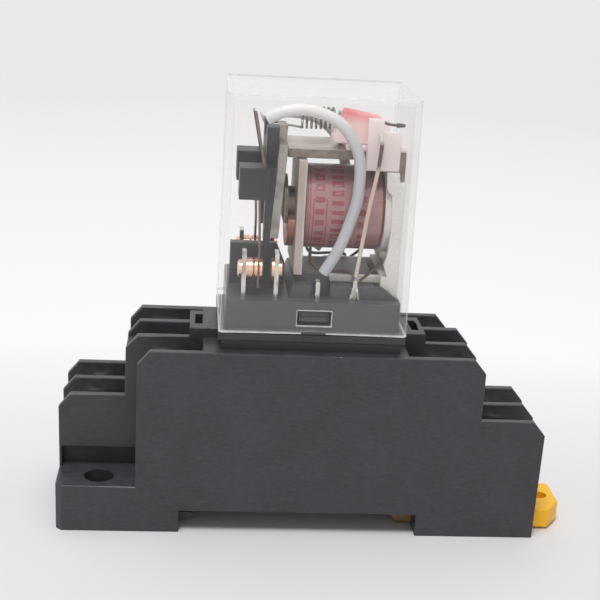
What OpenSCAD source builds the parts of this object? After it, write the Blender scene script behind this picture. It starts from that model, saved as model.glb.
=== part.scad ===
// Eight-pin changeover relay under a clear cover, plugged into its rail socket.
// Frame: X along the terminal rows, Y across the socket, Z up, millimetres.
// Origin: midway between the two mounting holes, on the plane of the feet.

/* [Socket housing] */
// Length of the socket
socket_len = 71.6; // [70:0.2:80]
// Width of the socket
socket_w = 22.6; // [22:0.2:26]
// Height of the two outer terminal tiers
low_tier_h = 18.6; // [17.6:0.2:20]
// Height of the two inner terminal tiers
high_tier_h = 28; // [27:0.2:31]
// Length over the two inner terminal tiers
high_tier_len = 52.2; // [51:0.2:54]
// Sideways run of the chamfer on the outer top edge of a tier
chamfer_run = 1.75; // [0.5:0.05:2.5]
// Drop of that chamfer
chamfer_drop = 2.1; // [0.5:0.05:3]
// Thickness of the partitions between the terminal bays
partition_t = 1.3; // [1:0.1:1.6]
// Depth of a terminal bay below the top of its tier
bay_depth = 5.6; // [5:0.1:6.4]
// Depth of the wire guide between the inner bays
guide_depth = 2.5; // [1:0.1:4]
// Thickness of the outer walls and the bay floors
skin_t = 1.4; // [1:0.1:1.6]
// How far the ends draw in toward the feet
end_draft = 0.3; // [0:0.05:0.6]

/* [Mounting corners and rail] */
// Distance between the mounting holes along the socket
hole_pitch_x = 59; // [58:0.5:61]
// Distance between the mounting holes across the socket
hole_pitch_y = 15; // [14:0.5:15.5]
// Diameter of a mounting hole
mount_hole_d = 4.4; // [3.4:0.1:4.8]
// Height of the mounting corner's floor
corner_floor_h = 7.1; // [6.2:0.1:8]
// Height of the relief behind the mounting corner
relief_h = 3.1; // [2:0.1:4]
// Depth of that relief past the partition's face
relief_d = 1.9; // [1:0.1:2.2]
// Thickness of the end wall beside the relief
relief_wall = 0.6; // [0.4:0.1:1.2]
// How far the corner cuts back into the inner tier
corner_inset = 2; // [1:0.1:3]
// Chamfer on the foot's upright outer edge
foot_chamfer = 0.9; // [0.2:0.1:1.5]
// Width of the rail gap
rail_gap_w = 35.2; // [35.1:0.05:36]
// Height of the rail gap
rail_gap_h = 3.4; // [3:0.1:4]
// Reach of the fixed lip under the rail flange
lip_reach = 2.1; // [1:0.1:2.4]
// Width of the fixed lip
lip_w = 17; // [8:0.5:18]
// Room for the rail flange above the lip and the slider's hook
flange_room = 1.3; // [1.1:0.1:1.6]

/* [Release slider] */
// Width of the slider's tab
slider_w = 9.6; // [8:0.2:10]
// Thickness of the slider
slider_t = 3; // [2.4:0.1:3.2]
// Sideways place of the slider's middle
slider_y = -3.6; // [-4.4:0.1:-3.2]
// Clearance of the slider above the floor
slider_lift = 0.35; // [0.3:0.05:0.5]
// Reach of the tab past the socket's end
tab_reach = 5; // [4:0.1:7]
// Length of the chamfer on the tab's front corner
tab_chamfer = 2.2; // [1:0.1:3]
// Length of the chamfer on the tab's rear corner
tab_rear_chamfer = 0.6; // [0.2:0.1:2]
// Diameter of the tab's screwdriver hole
tab_hole_d = 2.4; // [1.5:0.1:3]
// Reach of the slider's hook into the rail gap
hook_reach = 3.4; // [2:0.1:4]
// Width of the guiding flange on each side of the slider
guide_w = 0.8; // [0.5:0.1:1]
// Running clearance round the slider
slide_fit = 0.15; // [0.1:0.05:0.3]

/* [Terminals] */
// Diameter of a terminal screw's head
screw_head_d = 5.2; // [4.4:0.1:5.3]
// Height of that head
screw_head_h = 2; // [1.6:0.1:2.4]
// Diameter of the screw's shank
screw_d = 3; // [2.5:0.1:3.2]
// Length of the screw's shank
screw_len = 5; // [4:0.1:5.4]
// Thickness of the contact strips
strip_t = 0.8; // [0.6:0.05:1]
// Thickness of the clamp washers
washer_t = 0.7; // [0.5:0.05:1]

/* [Relay seat] */
// Height of the seat above the inner tiers
seat_h = 2.6; // [1.8:0.1:3.5]
// Thickness of the seat's top plate
seat_plate_t = 1.2; // [0.8:0.1:1.6]
// Length of a hold-down clip block
clip_len = 4; // [3:0.1:4.4]
// Height of a clip block above the inner tiers
clip_rise = 1.5; // [0.8:0.1:2]
// Length of the slot in a clip block
clip_slot_len = 1.1; // [0.8:0.1:1.6]
// Width of the slot in a clip block
clip_slot_w = 4.6; // [3:0.1:5]

/* [Relay body] */
// Offset of the relay from the rail's middle
relay_x = 0.65; // [0:0.05:1]
// Length of the cover at its lower edge
cover_len = 27; // [26.6:0.1:28]
// Width of the cover at its lower edge
cover_w = 21.5; // [21:0.1:22.2]
// Height of the cover
cover_h = 33.75; // [33.5:0.25:37]
// Thickness of the cover
cover_t = 0.9; // [0.7:0.05:1.1]
// How far each side of the cover leans in toward its top
cover_draft = 0.25; // [0:0.05:0.3]
// Radius of the cover's upright edges
cover_r = 0.8; // [0.4:0.1:1.5]
// Height of the cover's lower edge above the relay's underside
cover_lift = 0.3; // [0.2:0.1:0.6]
// Height of the base slab
slab_h = 4.8; // [4.4:0.1:5]
// Height of the deck under the coil
deck_h = 7.9; // [7.2:0.1:8.2]
// Width of the deck under the coil
deck_w = 9.2; // [8.2:0.1:9.6]
// Height of the barrier between the two poles
barrier_h = 11; // [10:0.1:12.3]
// Thickness of the barrier between the two poles
barrier_t = 1.6; // [1.2:0.1:4]
// Width of a latch window in the cover
window_w = 4.9; // [3.5:0.1:6]
// Height of a latch window
window_h = 2.25; // [1.8:0.05:2.6]
// Height of a latch window's lower edge above the relay's underside
window_z = 1.6; // [1.2:0.1:1.9]

/* [Pins and contacts] */
// Length of the pins below the relay
pin_len = 6.4; // [5.5:0.1:7]
// Thickness of the pins and blades
pin_t = 0.6; // [0.4:0.05:0.7]
// Width of the pins and blades
pin_w = 2.4; // [2:0.1:2.5]
// Distance between the two poles
pole_pitch = 13.2; // [13:0.1:13.4]
// Place of the normally closed pins from the relay's middle
nc_x = -10.1; // [-10.3:0.05:-9.9]
// Place of the normally open pins from the relay's middle
no_x = -5.45; // [-5.6:0.05:-5.2]
// Place of the common pins from the relay's middle
com_x = 0.55; // [0.2:0.05:0.9]
// Place of the coil pins from the relay's middle
coil_x = 5.85; // [5.4:0.05:6.2]
// Height of the contact rivets above the relay's underside
contact_h = 8.7; // [8.4:0.1:9]
// Diameter of a contact rivet's head
contact_d = 3.1; // [2.6:0.1:3.2]
// Thickness of the normally closed rivet's head
nc_head_t = 1.05; // [0.9:0.05:1.1]
// Thickness of a moving rivet's heads
move_head_t = 0.5; // [0.4:0.05:0.55]
// Thickness of a fixed rivet's tail
tail_t = 0.6; // [0.4:0.05:0.8]
// Open gap at the normally open contact
contact_gap = 1.08; // [1.08:0.01:1.2]
// Gap left at a closed contact
contact_touch = 0.05; // [0.04:0.01:0.08]
// Thickness of the moving springs
blade_t = 0.3; // [0.2:0.05:0.35]
// Width of the moving springs
blade_w = 2.2; // [1.8:0.1:2.4]

/* [Magnet] */
// Height of the core's axis above the relay's underside
core_h = 16.8; // [16.5:0.1:17.1]
// Diameter of the core
core_d = 5.4; // [5:0.1:6.4]
// Diameter of the pole face
pole_d = 9; // [8:0.1:9.6]
// Thickness of the pole face
pole_t = 0.5; // [0.4:0.05:0.8]
// Length of the core's neck between the pole face and the bobbin
neck_len = 1.13; // [1:0.01:1.2]
// Outside diameter of the shading ring under the neck
ring_d = 12.1; // [11:0.1:12.4]
// Outside diameter of the taped coil
coil_d = 12.3; // [11:0.1:12.6]
// Thickness of the coil tape
tape_t = 0.4; // [0.2:0.05:0.6]
// Thickness of the bobbin's tube
tube_t = 0.7; // [0.5:0.05:0.9]
// Thickness of the bobbin's flanges
flange_t = 1.2; // [1:0.05:1.4]
// Width of the bobbin's flanges
flange_w = 13.2; // [12.8:0.1:13.4]
// Height of the yoke's top above the relay's underside
yoke_h = 26; // [25.6:0.1:26.2]
// Thickness of the yoke
yoke_t = 1.3; // [1.1:0.05:1.4]
// Width of the yoke
yoke_w = 11; // [9:0.1:11.2]
// Thickness of the armature
armature_t = 1.3; // [1:0.05:1.4]
// Width of the armature
armature_w = 13.6; // [11:0.1:14]
// Length of the armature below its hinge
armature_len = 12.8; // [12:0.1:13]
// Angle of the open armature to the pole face
armature_open = 3.45; // [3.4:0.05:3.6]
// Place of the hinge from the relay's middle
hinge_x = -4.65; // [-4.7:0.05:-4.6]
// Outside diameter of the return spring
spring_d = 3.3; // [2.6:0.1:3.4]
// Diameter of the return spring's wire
wire_d = 0.36; // [0.25:0.01:0.45]
// Length of the return spring's coil
spring_len = 4.7; // [4:0.1:5]
// Turns of the return spring
spring_turns = 7; // [5:1:9]

/* [Lamp and leads] */
// Height of the lamp above the yoke
lamp_h = 5.6; // [5:0.1:6]
// Width of the lamp
lamp_w = 3; // [2.4:0.1:3.2]
// Length of the lamp
lamp_len = 7; // [6:0.1:7.2]
// Thickness of the lamp holder's floor and cheeks
holder_t = 0.8; // [0.6:0.05:0.9]
// Diameter of the sleeved leads
sleeve_d = 1.65; // [1.4:0.05:1.9]
// Diameter of the lamp leads
lead_d = 0.58; // [0.5:0.02:0.8]
// Diameter of the coil's wire ends
coil_wire_d = 0.44; // [0.3:0.02:0.5]
// Diameter of the stub of lead at the lamp's far end
stub_lead_d = 0.4; // [0.3:0.02:0.5]

/* [Fits] */
// Clearance between pieces that fit together
fit = 0.1; // [0.05:0.05:0.15]

/* [Hidden] */
$fn = 48;
// Overshoot of every cut past the surface that it opens
over = 0.5;

POLES = ["front", "rear"];
DUTIES = ["nc", "no", "com", "coil"];
STRIPS = [for (d = DUTIES) for (p = POLES) str("contact_strip_", d, "_", p)];
PINS = [for (d = DUTIES) for (p = POLES) str("terminal_", d, "_", p)];

// Socket layout
half_len = socket_len / 2;
half_w = socket_w / 2;
high_half = high_tier_len / 2;
bay_pitch = (socket_w - partition_t) / 3;
bay_w = bay_pitch - partition_t;
low_floor = low_tier_h - bay_depth;
high_floor = high_tier_h - bay_depth;
seat_z = high_tier_h + seat_h;
corner_face_y = -half_w + bay_pitch;
corner_x = high_half - corner_inset;
// Clear length between the relay's end and the inner end of a bay
bay_end_gap = 2.05;
pin_y = pole_pitch / 2;
// Insets of the seat's skirt and plate from the cover's sides
skirt_inset = 1.6;
plate_inset = 1.1;
// Depth of the slot in a clip block
clip_slot_depth = 4;
// Slope and blunt edge of the fixed lip
lip_slope = 0.2;
lip_edge = 0.7;

// Contact chamber inside the socket
chamber_y = half_w - skin_t;
chamber_x = corner_x - skin_t;
// Thickness of the bottom plate
plate_t = skin_t + 0.2;
chamber_floor = rail_gap_h + plate_t;
chamber_low_top = high_floor - skin_t;
chamber_top = high_tier_h - skin_t;
// Width of the land beside the opening under the chamber
land_w = 1.6;
opening_x = rail_gap_w / 2 - land_w;

// Contact strips
strip_bay_w = bay_w - 4 * fit;
strip_w = pin_w;
leaf_t = 0.5;
leaf_top = chamber_top - 0.2;
high_run_z = chamber_low_top - 2;
low_run_z = corner_floor_h + 1.5;
high_lane = [pin_y + pin_w / 2 + 2 * fit, chamber_y - 2 * fit];
low_lane = [2 * fit, 2 * fit + 2.2];
low_leg_x = high_half + fit;
high_screw_x = high_half - 5.4;
low_screw_x = half_len - 5;
// Gap between an outer strip's end and the end of its bay
strip_end_gap = 1;
// Rise of an outer strip's step below its pin
step_z = high_run_z + 1.4;
// Width and depth of a screw's slots
slot_w = 0.9;
slot_depth = 1.1;

// Release slider
stem_t = slider_t / 2;
stem_w = slider_w - 2 * guide_w;
hook_t = rail_gap_h - flange_room - slider_lift;
// Blunt edge and slope of the slider's hook
hook_edge = 0.5;
hook_slope = 1.2;
// Place of the tab's hole from the slider's middle, and the run of the front chamfer
tab_hole_x = half_len + tab_reach / 2;
tab_hole_y = 0.4;
tab_bevel = tab_chamfer * 1.4;

// Relay layout, from the middle of its underside
relay_z = seat_z + fit;
pin_places = [nc_x, no_x, com_x, coil_x];
inner_len = cover_len - 2 * cover_t;
inner_w = cover_w - 2 * cover_t;
slab_len = inner_len - 2 * fit - 2 * cover_draft * slab_h / cover_h;
slab_w = inner_w - 2 * fit - 2 * cover_draft * slab_h / cover_h;
ledge_h = deck_h - 1.2;
ledge_w = slab_w - 4.4;
// Reach of the riveted blades above the rivets
blade_rise = 2.6;
terminal_tops = [contact_h + blade_rise, contact_h + blade_rise, deck_h - 0.6, deck_h - 0.2];
// Fork on the front of a coil terminal
fork_t = 0.45;
fork_spread = 0.74;
prong_w = 0.28;
// Latch lug: height, gap below it in its window, gap on both sides together, blunt edge
lug_h = window_h - 0.7;
lug_gap_z = 0.35;
lug_gap_x = 0.6;
lug_edge = 0.3;
// Notch in the cover's lower edge below each latch window
notch_w = window_w * 0.72;
notch_h = 0.45;

// Moving springs and card
blade_x = nc_x + pin_t / 2 + nc_head_t + contact_touch + move_head_t + blade_t / 2;
no_head_t = no_x - pin_t / 2 - (blade_x + blade_t / 2 + move_head_t + contact_gap);
// Height and reach of the card's noses, and the card's lip over a spring's edge
nose_h = 4.5;
nose_reach = 3.25;
card_lip = 1.2;
card_low = core_h + 2.3;
card_high = card_low + nose_h;
card_top = yoke_h + 2.8;
card_foot = yoke_h - armature_len - over;
card_x = blade_x + blade_t / 2 + 0.35;
card_nose_x = blade_x - nose_reach;
card_w = 2 * (pin_y + blade_w / 2 + card_lip);
// Widths of the card's lower part, of the gap between its legs and of its upper part
card_leg_w = card_w - 1.8;
card_gap_w = 2 * (pin_y - blade_w / 2 - 1);
card_upper_w = 2 * (pin_y - blade_w / 2 - 0.6);
// Reach of a moving spring below its rivet and above its card, its bows and its straight part
spring_foot = 2.6;
spring_rise = 7.4;
rear_spring_rise = 5.8;
spring_bow = 0.3;
spring_lean = 1.25;
spring_straight = 4.6;
function spring_route(rise) = [
    [blade_x, contact_h - spring_foot],
    [blade_x, contact_h + spring_straight],
    [blade_x - spring_bow, card_low],
    [blade_x + spring_bow * 2 / 3, card_high],
    [blade_x - spring_lean * rise / spring_rise, card_high + rise]
];

// Magnet
pole_x = hinge_x + 0.05;
flange_x = pole_x + pole_t + neck_len;
yoke_out_x = inner_len / 2 - cover_draft - fit;
yoke_in_x = yoke_out_x - yoke_t;
far_flange_x = yoke_in_x - flange_t - 0.05;
flange_top = yoke_h - yoke_t - fit;
tube_r = core_d / 2 + fit / 2 + tube_t;
winding_r = coil_d / 2 - tape_t;
stub_d = core_d - 2;
// Reach of the round flange past the taped coil
flange_rim = 0.3;
// Flat foot of the pole face and flat top of the shading ring, below the core's axis
pole_foot = 1.9;
ring_top = 0.95;
// Armature's tail, and the armature's rise beside it
tail_w = 4.4;
tail_h = 2.6;
shoulder_h = 0.6;
spring_z = yoke_h + 3.6;
// Drop of the return spring's left hook below its axis
hook_drop = 1.2;
hook_z = spring_z - hook_drop;
spring_x = hinge_x + 2.3;
anchor_x = spring_x + spring_len + 0.5;
anchor_t = 0.6;
anchor_w = 2.4;
anchor_top = spring_z + 1.1;
hook_hole_d = wire_d + 0.7;

// Lamp
lamp_z = yoke_h + fit / 2 + holder_t;
lamp_x = anchor_x - 1.3;
lamp_far_x = lamp_x + lamp_len;
lamp_top = yoke_h + lamp_h;
// Lean of the lamp's near end, fall of its top and bevel under its near end
lamp_lean = 1.7;
lamp_fall = 0.85;
lamp_bevel = 0.6;
// Lamp's rear face, clear of the return spring
lamp_back_y = -spring_d / 2 - 0.35;
lamp_mid_y = lamp_back_y - lamp_w / 2;
holder_x = lamp_x + 4.85;
holder_far_x = yoke_in_x + 0.25;
cheek_in = yoke_w / 2 + fit;
cheek_low = yoke_h - 2.6;
cheek_step = yoke_h + 3;
stub_z = lamp_top - 1.5;

// Ends of the deck, their slope and the trough beside a common terminal
deck_x = no_x + 2.5;
deck_slope = 0.8;
deck_far_x = far_flange_x - 1;
trough_left = com_x - 1;
trough_right = com_x + 1.8;

// Bobbin's rail along the deck and its foot under the far flange
rail_x = com_x + 1.85;
rail_t = 0.6;
foot_h = slab_h + 3.2;

// Routes of the leads, front pole, from the middle of the relay's underside
sleeve_route = [
    [-7.8, -7.2, 30.2],
    [-5.5, -7.4, 31.35],
    [-2.7, -7.5, 31.75],
    [0.1, -7.5, 31.2],
    [2.4, -7.5, 30],
    [4, -7.5, 28.1],
    [5.1, -7.5, 25.9],
    [5.5, -7.5, 23.8],
    [5.5, -7.5, 21.1],
    [5.2, -7.5, 18.4],
    [3.5, -7.5, 12.9],
    [1.3, -7.2, 8.5]
];
// The rear pole's sleeve bows less high
rear_sleeve_route = [
    [-7.8, -7.2, 28.2],
    [-5.6, -7.4, 29],
    [-2.9, -7.5, 29.1],
    [0, -7.5, 28.6],
    [2.4, -7.5, 27.2],
    [4, -7.5, 25],
    [5, -7.5, 22.2],
    [5.3, -7.5, 18.6],
    [4.2, -7.5, 13.2],
    [1.3, -7.2, 8.5]
];
lamp_lead_route = [
    [8.2, -cheek_in - holder_t - fit, 28.4],
    [8.22, -cheek_in - holder_t - 6 * fit, 28.35],
    [8.3, -7.6, 27.2],
    [7.9, -8.4, 24],
    [6.9, -8.9, 18],
    [6.1, -8.5, 11],
    [coil_x + 0.05, -8, deck_h + 0.5]
];
coil_wire_route = [
    [-0.4, -3, 11.2],
    [-0.3, -3.4, 9.4],
    [0.8, -4.6, 8.4],
    [3.2, -5, 8.4],
    [5, -5.3, 8.35],
    [coil_x, -5.7, deck_h + 0.1]
];
// Stiff tail from the bobbin's frame down to the coil terminal
coil_tag_route = [
    [far_flange_x - fit, -6.1, 10],
    [8.3, -6.4, 8.8],
    [coil_x + 0.75, -6.6, 7.3]
];

// Helpers for swept wires

function unit(v) = v / norm(v);

// Point at share t between points i and i + 1 of a smooth curve through p
function curve_point(p, i, t) =
    let (a = p[max(i - 1, 0)], b = p[i], c = p[i + 1], d = p[min(i + 2, len(p) - 1)])
    0.5 * (2 * b + (c - a) * t + (2 * a - 5 * b + 4 * c - d) * t * t
        + (3 * b - a - 3 * c + d) * t * t * t);

function smooth_route(p, steps) = concat(
    [for (i = [0:len(p) - 2]) for (k = [0:steps - 1]) curve_point(p, i, k / steps)],
    [p[len(p) - 1]]
);

function tangents(p) = [
    for (i = [0:len(p) - 1]) unit(p[min(i + 1, len(p) - 1)] - p[max(i - 1, 0)])
];

function square_off(n, t) = unit(n - t * (n * t));

// Normals carried along the route without twist, starting near the given side
function carried_normals(t, side) = [
    for (i = 0, n = square_off(side, t[0]); i < len(t);
        i = i + 1, n = i < len(t) ? square_off(n, t[i]) : n) n
];

// Solid round wire along the route
module wire(route, d, side, sides) {
    t = tangents(route);
    n = carried_normals(t, side);
    rings = len(route);
    points = [
        for (i = [0:rings - 1])
            for (k = [0:sides - 1])
                route[i] + d / 2 * (n[i] * cos(360 * k / sides)
                    + cross(t[i], n[i]) * sin(360 * k / sides))
    ];
    walls = [
        for (i = [0:rings - 2])
            for (k = [0:sides - 1])
                let (m = (k + 1) % sides)
                [i * sides + k, (i + 1) * sides + k, (i + 1) * sides + m, i * sides + m]
    ];
    first = [for (k = [0:sides - 1]) k];
    last = [for (k = [0:sides - 1]) rings * sides - 1 - k];
    polyhedron(points, concat([first], walls, [last]));
}

// Helpers for placing

// Box from one corner to the opposite one
module block(a, b) {
    low = [for (i = [0:2]) min(a[i], b[i])];
    high = [for (i = [0:2]) max(a[i], b[i])];
    translate(low) cube(high - low);
}

// Outline drawn in X and Z, as thick as w across Y
module across(w) {
    rotate([90, 0, 0]) linear_extrude(w, center = true) children();
}

// Round bar along X from x0 to x1
module bar_x(x0, x1, d) {
    translate([x0, 0, 0]) rotate([0, 90, 0]) cylinder(h = x1 - x0, d = d);
}

module in_relay() {
    translate([relay_x, 0, relay_z]) children();
}

// Both ends of the socket, which are alike when it is turned half round
module both_ends() {
    for (turn = [0, 180]) rotate([0, 0, turn]) children();
}

// Front and rear pole of the relay
module both_poles() {
    for (side = [0, 1]) mirror([0, side, 0]) children();
}

// End of the relay's seat, on the left (-1) or the right (1)
function seat_end(side) = relay_x + side * cover_len / 2;
function bay_end(side) = seat_end(side) + side * bay_end_gap;

// Places [x, y, floor] of the eight terminal screws
screw_places = [
    for (side = [-1, 1]) each [
        [side * high_screw_x, -bay_pitch, high_floor],
        [side * high_screw_x, bay_pitch, high_floor],
        [side * low_screw_x, 0, low_floor],
        [side * low_screw_x, -side * bay_pitch, low_floor]
    ]
];

// Slot for a pin at p, with a gap all round, from height z0 to z1
module pin_slot(p, gap, z0, z1) {
    block([p.x - pin_t / 2 - gap, p.y - pin_w / 2 - gap, z0],
        [p.x + pin_t / 2 + gap, p.y + pin_w / 2 + gap, z1]);
}

// Socket housing

module tier_outline() {
    right = [
        [rail_gap_w / 2, rail_gap_h],
        [rail_gap_w / 2, 0],
        [half_len - end_draft, 0],
        [half_len, low_tier_h - chamfer_drop],
        [half_len - chamfer_run, low_tier_h],
        [high_half, low_tier_h],
        [high_half, high_tier_h - chamfer_drop],
        [high_half - chamfer_run, high_tier_h]
    ];
    left = [for (i = [len(right) - 1:-1:0]) [-right[i].x, right[i].y]];
    polygon(concat(right, left));
}

// Open corner over the left front mounting hole
module mounting_corner() {
    block([-half_len - over, -half_w - over, corner_floor_h],
        [-corner_x, corner_face_y, high_tier_h + over]);
    block([-half_len + relief_wall, corner_face_y - over, corner_floor_h],
        [-corner_x, corner_face_y + relief_d, corner_floor_h + relief_h]);
    translate([-hole_pitch_x / 2, -hole_pitch_y / 2, -over])
        cylinder(h = corner_floor_h + 2 * over, d = mount_hole_d);
    // Chamfers on the front wall's end and on the foot's upright edge
    translate([0, -half_w + partition_t / 2, 0]) across(partition_t + 2 * fit)
        polygon([
            [-corner_x - over, high_tier_h - chamfer_drop],
            [-corner_x, high_tier_h - chamfer_drop],
            [-corner_x + chamfer_run, high_tier_h],
            [-corner_x + chamfer_run, high_tier_h + over],
            [-corner_x - over, high_tier_h + over]
        ]);
    translate([-half_len + end_draft, -half_w, -over]) linear_extrude(corner_floor_h + over)
        polygon([
            [-end_draft - over, -over],
            [foot_chamfer + over, -over],
            [-end_draft - over, foot_chamfer + end_draft + over]
        ]);
}

// Open terminal bays of the left end
module terminal_bays() {
    for (y = [-bay_pitch, bay_pitch])
        block([-high_half - over, y - bay_w / 2, high_floor],
            [bay_end(-1), y + bay_w / 2, high_tier_h + over]);
    block([-high_half - over, -bay_w / 2, high_tier_h - guide_depth],
        [seat_end(-1) - clip_len, bay_w / 2, high_tier_h + over]);
    for (y = [0, bay_pitch])
        block([-half_len - over, y - bay_w / 2, low_floor],
            [-high_half, y + bay_w / 2, low_tier_h + over]);
}

// Seat for the relay with its two clip blocks
module relay_seat() {
    plate_z = seat_z - seat_plate_t;
    translate([relay_x, 0, 0]) {
        block([-cover_len / 2 + over, -cover_w / 2 + skirt_inset, high_tier_h - skin_t],
            [cover_len / 2 - over, cover_w / 2 - skirt_inset, plate_z]);
        block([-cover_len / 2, -cover_w / 2 + plate_inset, plate_z],
            [cover_len / 2, cover_w / 2 - plate_inset, seat_z]);
    }
    for (side = [-1, 1])
        block([seat_end(side), -bay_pitch / 2 - partition_t / 2, high_tier_h - skin_t],
            [seat_end(side) + side * clip_len, bay_pitch / 2 + partition_t / 2,
                high_tier_h + clip_rise]);
}

module clip_slots() {
    for (side = [-1, 1])
        translate([seat_end(side) + side * clip_len * 2 / 3, 0, high_tier_h + clip_rise])
            cube([clip_slot_len, clip_slot_w, 2 * clip_slot_depth], center = true);
}

// Hollow inside the socket, open below
module contact_chamber() {
    block([-chamber_x, -chamber_y, chamber_floor], [chamber_x, chamber_y, chamber_low_top]);
    block([bay_end(-1) + skin_t, -chamber_y, chamber_floor],
        [bay_end(1) - skin_t, chamber_y, chamber_top]);
    block([-opening_x, -chamber_y, rail_gap_h - over], [opening_x, chamber_y, chamber_floor + over]);
    both_ends()
        block([-low_leg_x - strip_t - fit, 0, low_run_z - 2 * fit],
            [-chamber_x + over, chamber_y, low_floor - skin_t]);
}

// Slots through the bay floors for the legs of the strips
module strip_slots() {
    both_ends() {
        for (y = [low_lane, [pin_y - strip_w / 2, pin_y + strip_w / 2]])
            block([-low_leg_x - strip_t - fit, y[0] - fit, low_floor - skin_t - over],
                [-low_leg_x + fit, y[1] + fit, low_floor + over]);
    }
    for (side = [-1, 1])
        for (pole = [-1, 1])
            block([bay_end(side), pole * (high_lane[0] - fit), chamber_low_top - over],
                [bay_end(side) + side * (strip_t + 2 * fit), pole * (high_lane[1] + fit),
                    high_floor + over]);
}

// Groove for the release slider under the right foot
module slider_groove() {
    stem_top = slider_lift + stem_t - slide_fit;
    x0 = rail_gap_w / 2 - over;
    x1 = half_len + over;
    translate([0, slider_y, 0]) {
        block([x0, -stem_w / 2 - slide_fit, -over],
            [x1, stem_w / 2 + slide_fit, stem_top + over]);
        block([x0, -slider_w / 2 - slide_fit, stem_top],
            [x1, slider_w / 2 + slide_fit, slider_lift + slider_t + slide_fit]);
    }
}

// Fixed lip that takes the rail's left flange
module rail_lip() {
    lip_top = rail_gap_h - flange_room;
    across(lip_w)
        polygon([
            [-rail_gap_w / 2 - over, lip_top],
            [-rail_gap_w / 2 + lip_reach, lip_top - lip_slope],
            [-rail_gap_w / 2 + lip_reach, lip_top - lip_slope - lip_edge],
            [-rail_gap_w / 2, slider_lift],
            [-rail_gap_w / 2 - over, slider_lift]
        ]);
}

module socket_body() {
    color("#3c3c40")
    difference() {
        union() {
            difference() {
                across(socket_w) tier_outline();
                both_ends() terminal_bays();
                both_ends() mounting_corner();
            }
            relay_seat();
            rail_lip();
        }
        contact_chamber();
        strip_slots();
        clip_slots();
        slider_groove();
        for (p = screw_places)
            translate([p.x, p.y, p.z - screw_len])
                cylinder(h = screw_len + over, d = screw_d + 4 * fit);
        in_relay() for (x = pin_places) for (pole = [-1, 1])
            pin_slot([x, pole * pin_y], 3 * fit, -seat_h - skin_t - over, over);
    }
}

module bottom_plate() {
    color("#343438")
        block([-opening_x + fit, -chamber_y + fit, rail_gap_h],
            [opening_x - fit, chamber_y - fit, chamber_floor]);
}

module release_slider() {
    end_x = half_len + fit;
    tab_x = half_len + tab_reach;
    hook_x = rail_gap_w / 2 - hook_reach;
    color("#f0be3c")
    translate([0, slider_y, slider_lift])
    difference() {
        union() {
            block([rail_gap_w / 2, -stem_w / 2, 0], [end_x + over, stem_w / 2, stem_t + over]);
            block([rail_gap_w / 2, -slider_w / 2, stem_t], [end_x + over, slider_w / 2, slider_t]);
            linear_extrude(slider_t)
                polygon([
                    [end_x, -slider_w / 2],
                    [tab_x - tab_chamfer, -slider_w / 2],
                    [tab_x, -slider_w / 2 + tab_bevel],
                    [tab_x, slider_w / 2 - tab_rear_chamfer],
                    [tab_x - tab_rear_chamfer, slider_w / 2],
                    [end_x, slider_w / 2]
                ]);
            across(stem_w)
                polygon([
                    [rail_gap_w / 2 + over, 0],
                    [rail_gap_w / 2 + over, hook_t],
                    [hook_x, hook_t],
                    [hook_x, hook_t - hook_edge],
                    [hook_x + hook_slope, 0]
                ]);
        }
        translate([tab_hole_x, tab_hole_y, -over])
            cylinder(h = slider_t + 2 * over, d = tab_hole_d);
    }
}

module terminal_screws() {
    color("#c8c8c4")
    for (p = screw_places)
        translate([p.x, p.y, p.z + strip_t + washer_t])
        difference() {
            union() {
                cylinder(h = screw_head_h, d = screw_head_d);
                translate([0, 0, -screw_len]) cylinder(h = screw_len + over, d = screw_d);
            }
            for (turn = [0, 90]) rotate([0, 0, turn])
                translate([0, 0, screw_head_h])
                    cube([screw_head_d * (turn == 0 ? 1.2 : 0.6), slot_w, 2 * slot_depth], center = true);
        }
}

module clamp_washers() {
    color("#b4b4b0")
    for (p = screw_places)
        translate([p.x, p.y, p.z + strip_t])
        difference() {
            translate([-strip_bay_w / 2, -strip_bay_w / 2, 0])
                cube([strip_bay_w, strip_bay_w, washer_t]);
            translate([0, 0, -over]) cylinder(h = washer_t + 2 * over, d = screw_d + 2 * fit);
        }
}

// Two leaves that grip a pin, standing on the strip at height z
module pin_leaves(x, pole, z) {
    for (side = [-1, 1])
        translate([x + side * (pin_t / 2 + fit / 2 + leaf_t / 2), pole * pin_y, (z + leaf_top) / 2])
            cube([leaf_t, strip_w, leaf_top - z], center = true);
}

// Strip from an inner bay to the pin at x, on the left (-1) or right (1) side
module high_strip(side, pole, x) {
    end = bay_end(side) + side * fit;
    foot = [x - pin_t / 2 - leaf_t - fit / 2, x + pin_t / 2 + leaf_t + fit / 2];
    lane = pole * high_lane;
    difference() {
        block([end, pole * bay_pitch - strip_bay_w / 2, high_floor],
            [side * (corner_x - 2 * fit), pole * bay_pitch + strip_bay_w / 2, high_floor + strip_t]);
        translate([side * high_screw_x, pole * bay_pitch, high_floor - over])
            cylinder(h = strip_t + 2 * over, d = screw_d + 2 * fit);
    }
    block([end, lane[0], high_run_z], [end + side * strip_t, lane[1], high_floor + strip_t]);
    block([end + side * strip_t, lane[0], high_run_z], [foot[0], lane[1], high_run_z + strip_t]);
    block([foot[0], pole * (pin_y - strip_w / 2), high_run_z],
        [foot[1], lane[1], high_run_z + strip_t]);
    pin_leaves(x, pole, high_run_z);
}

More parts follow.
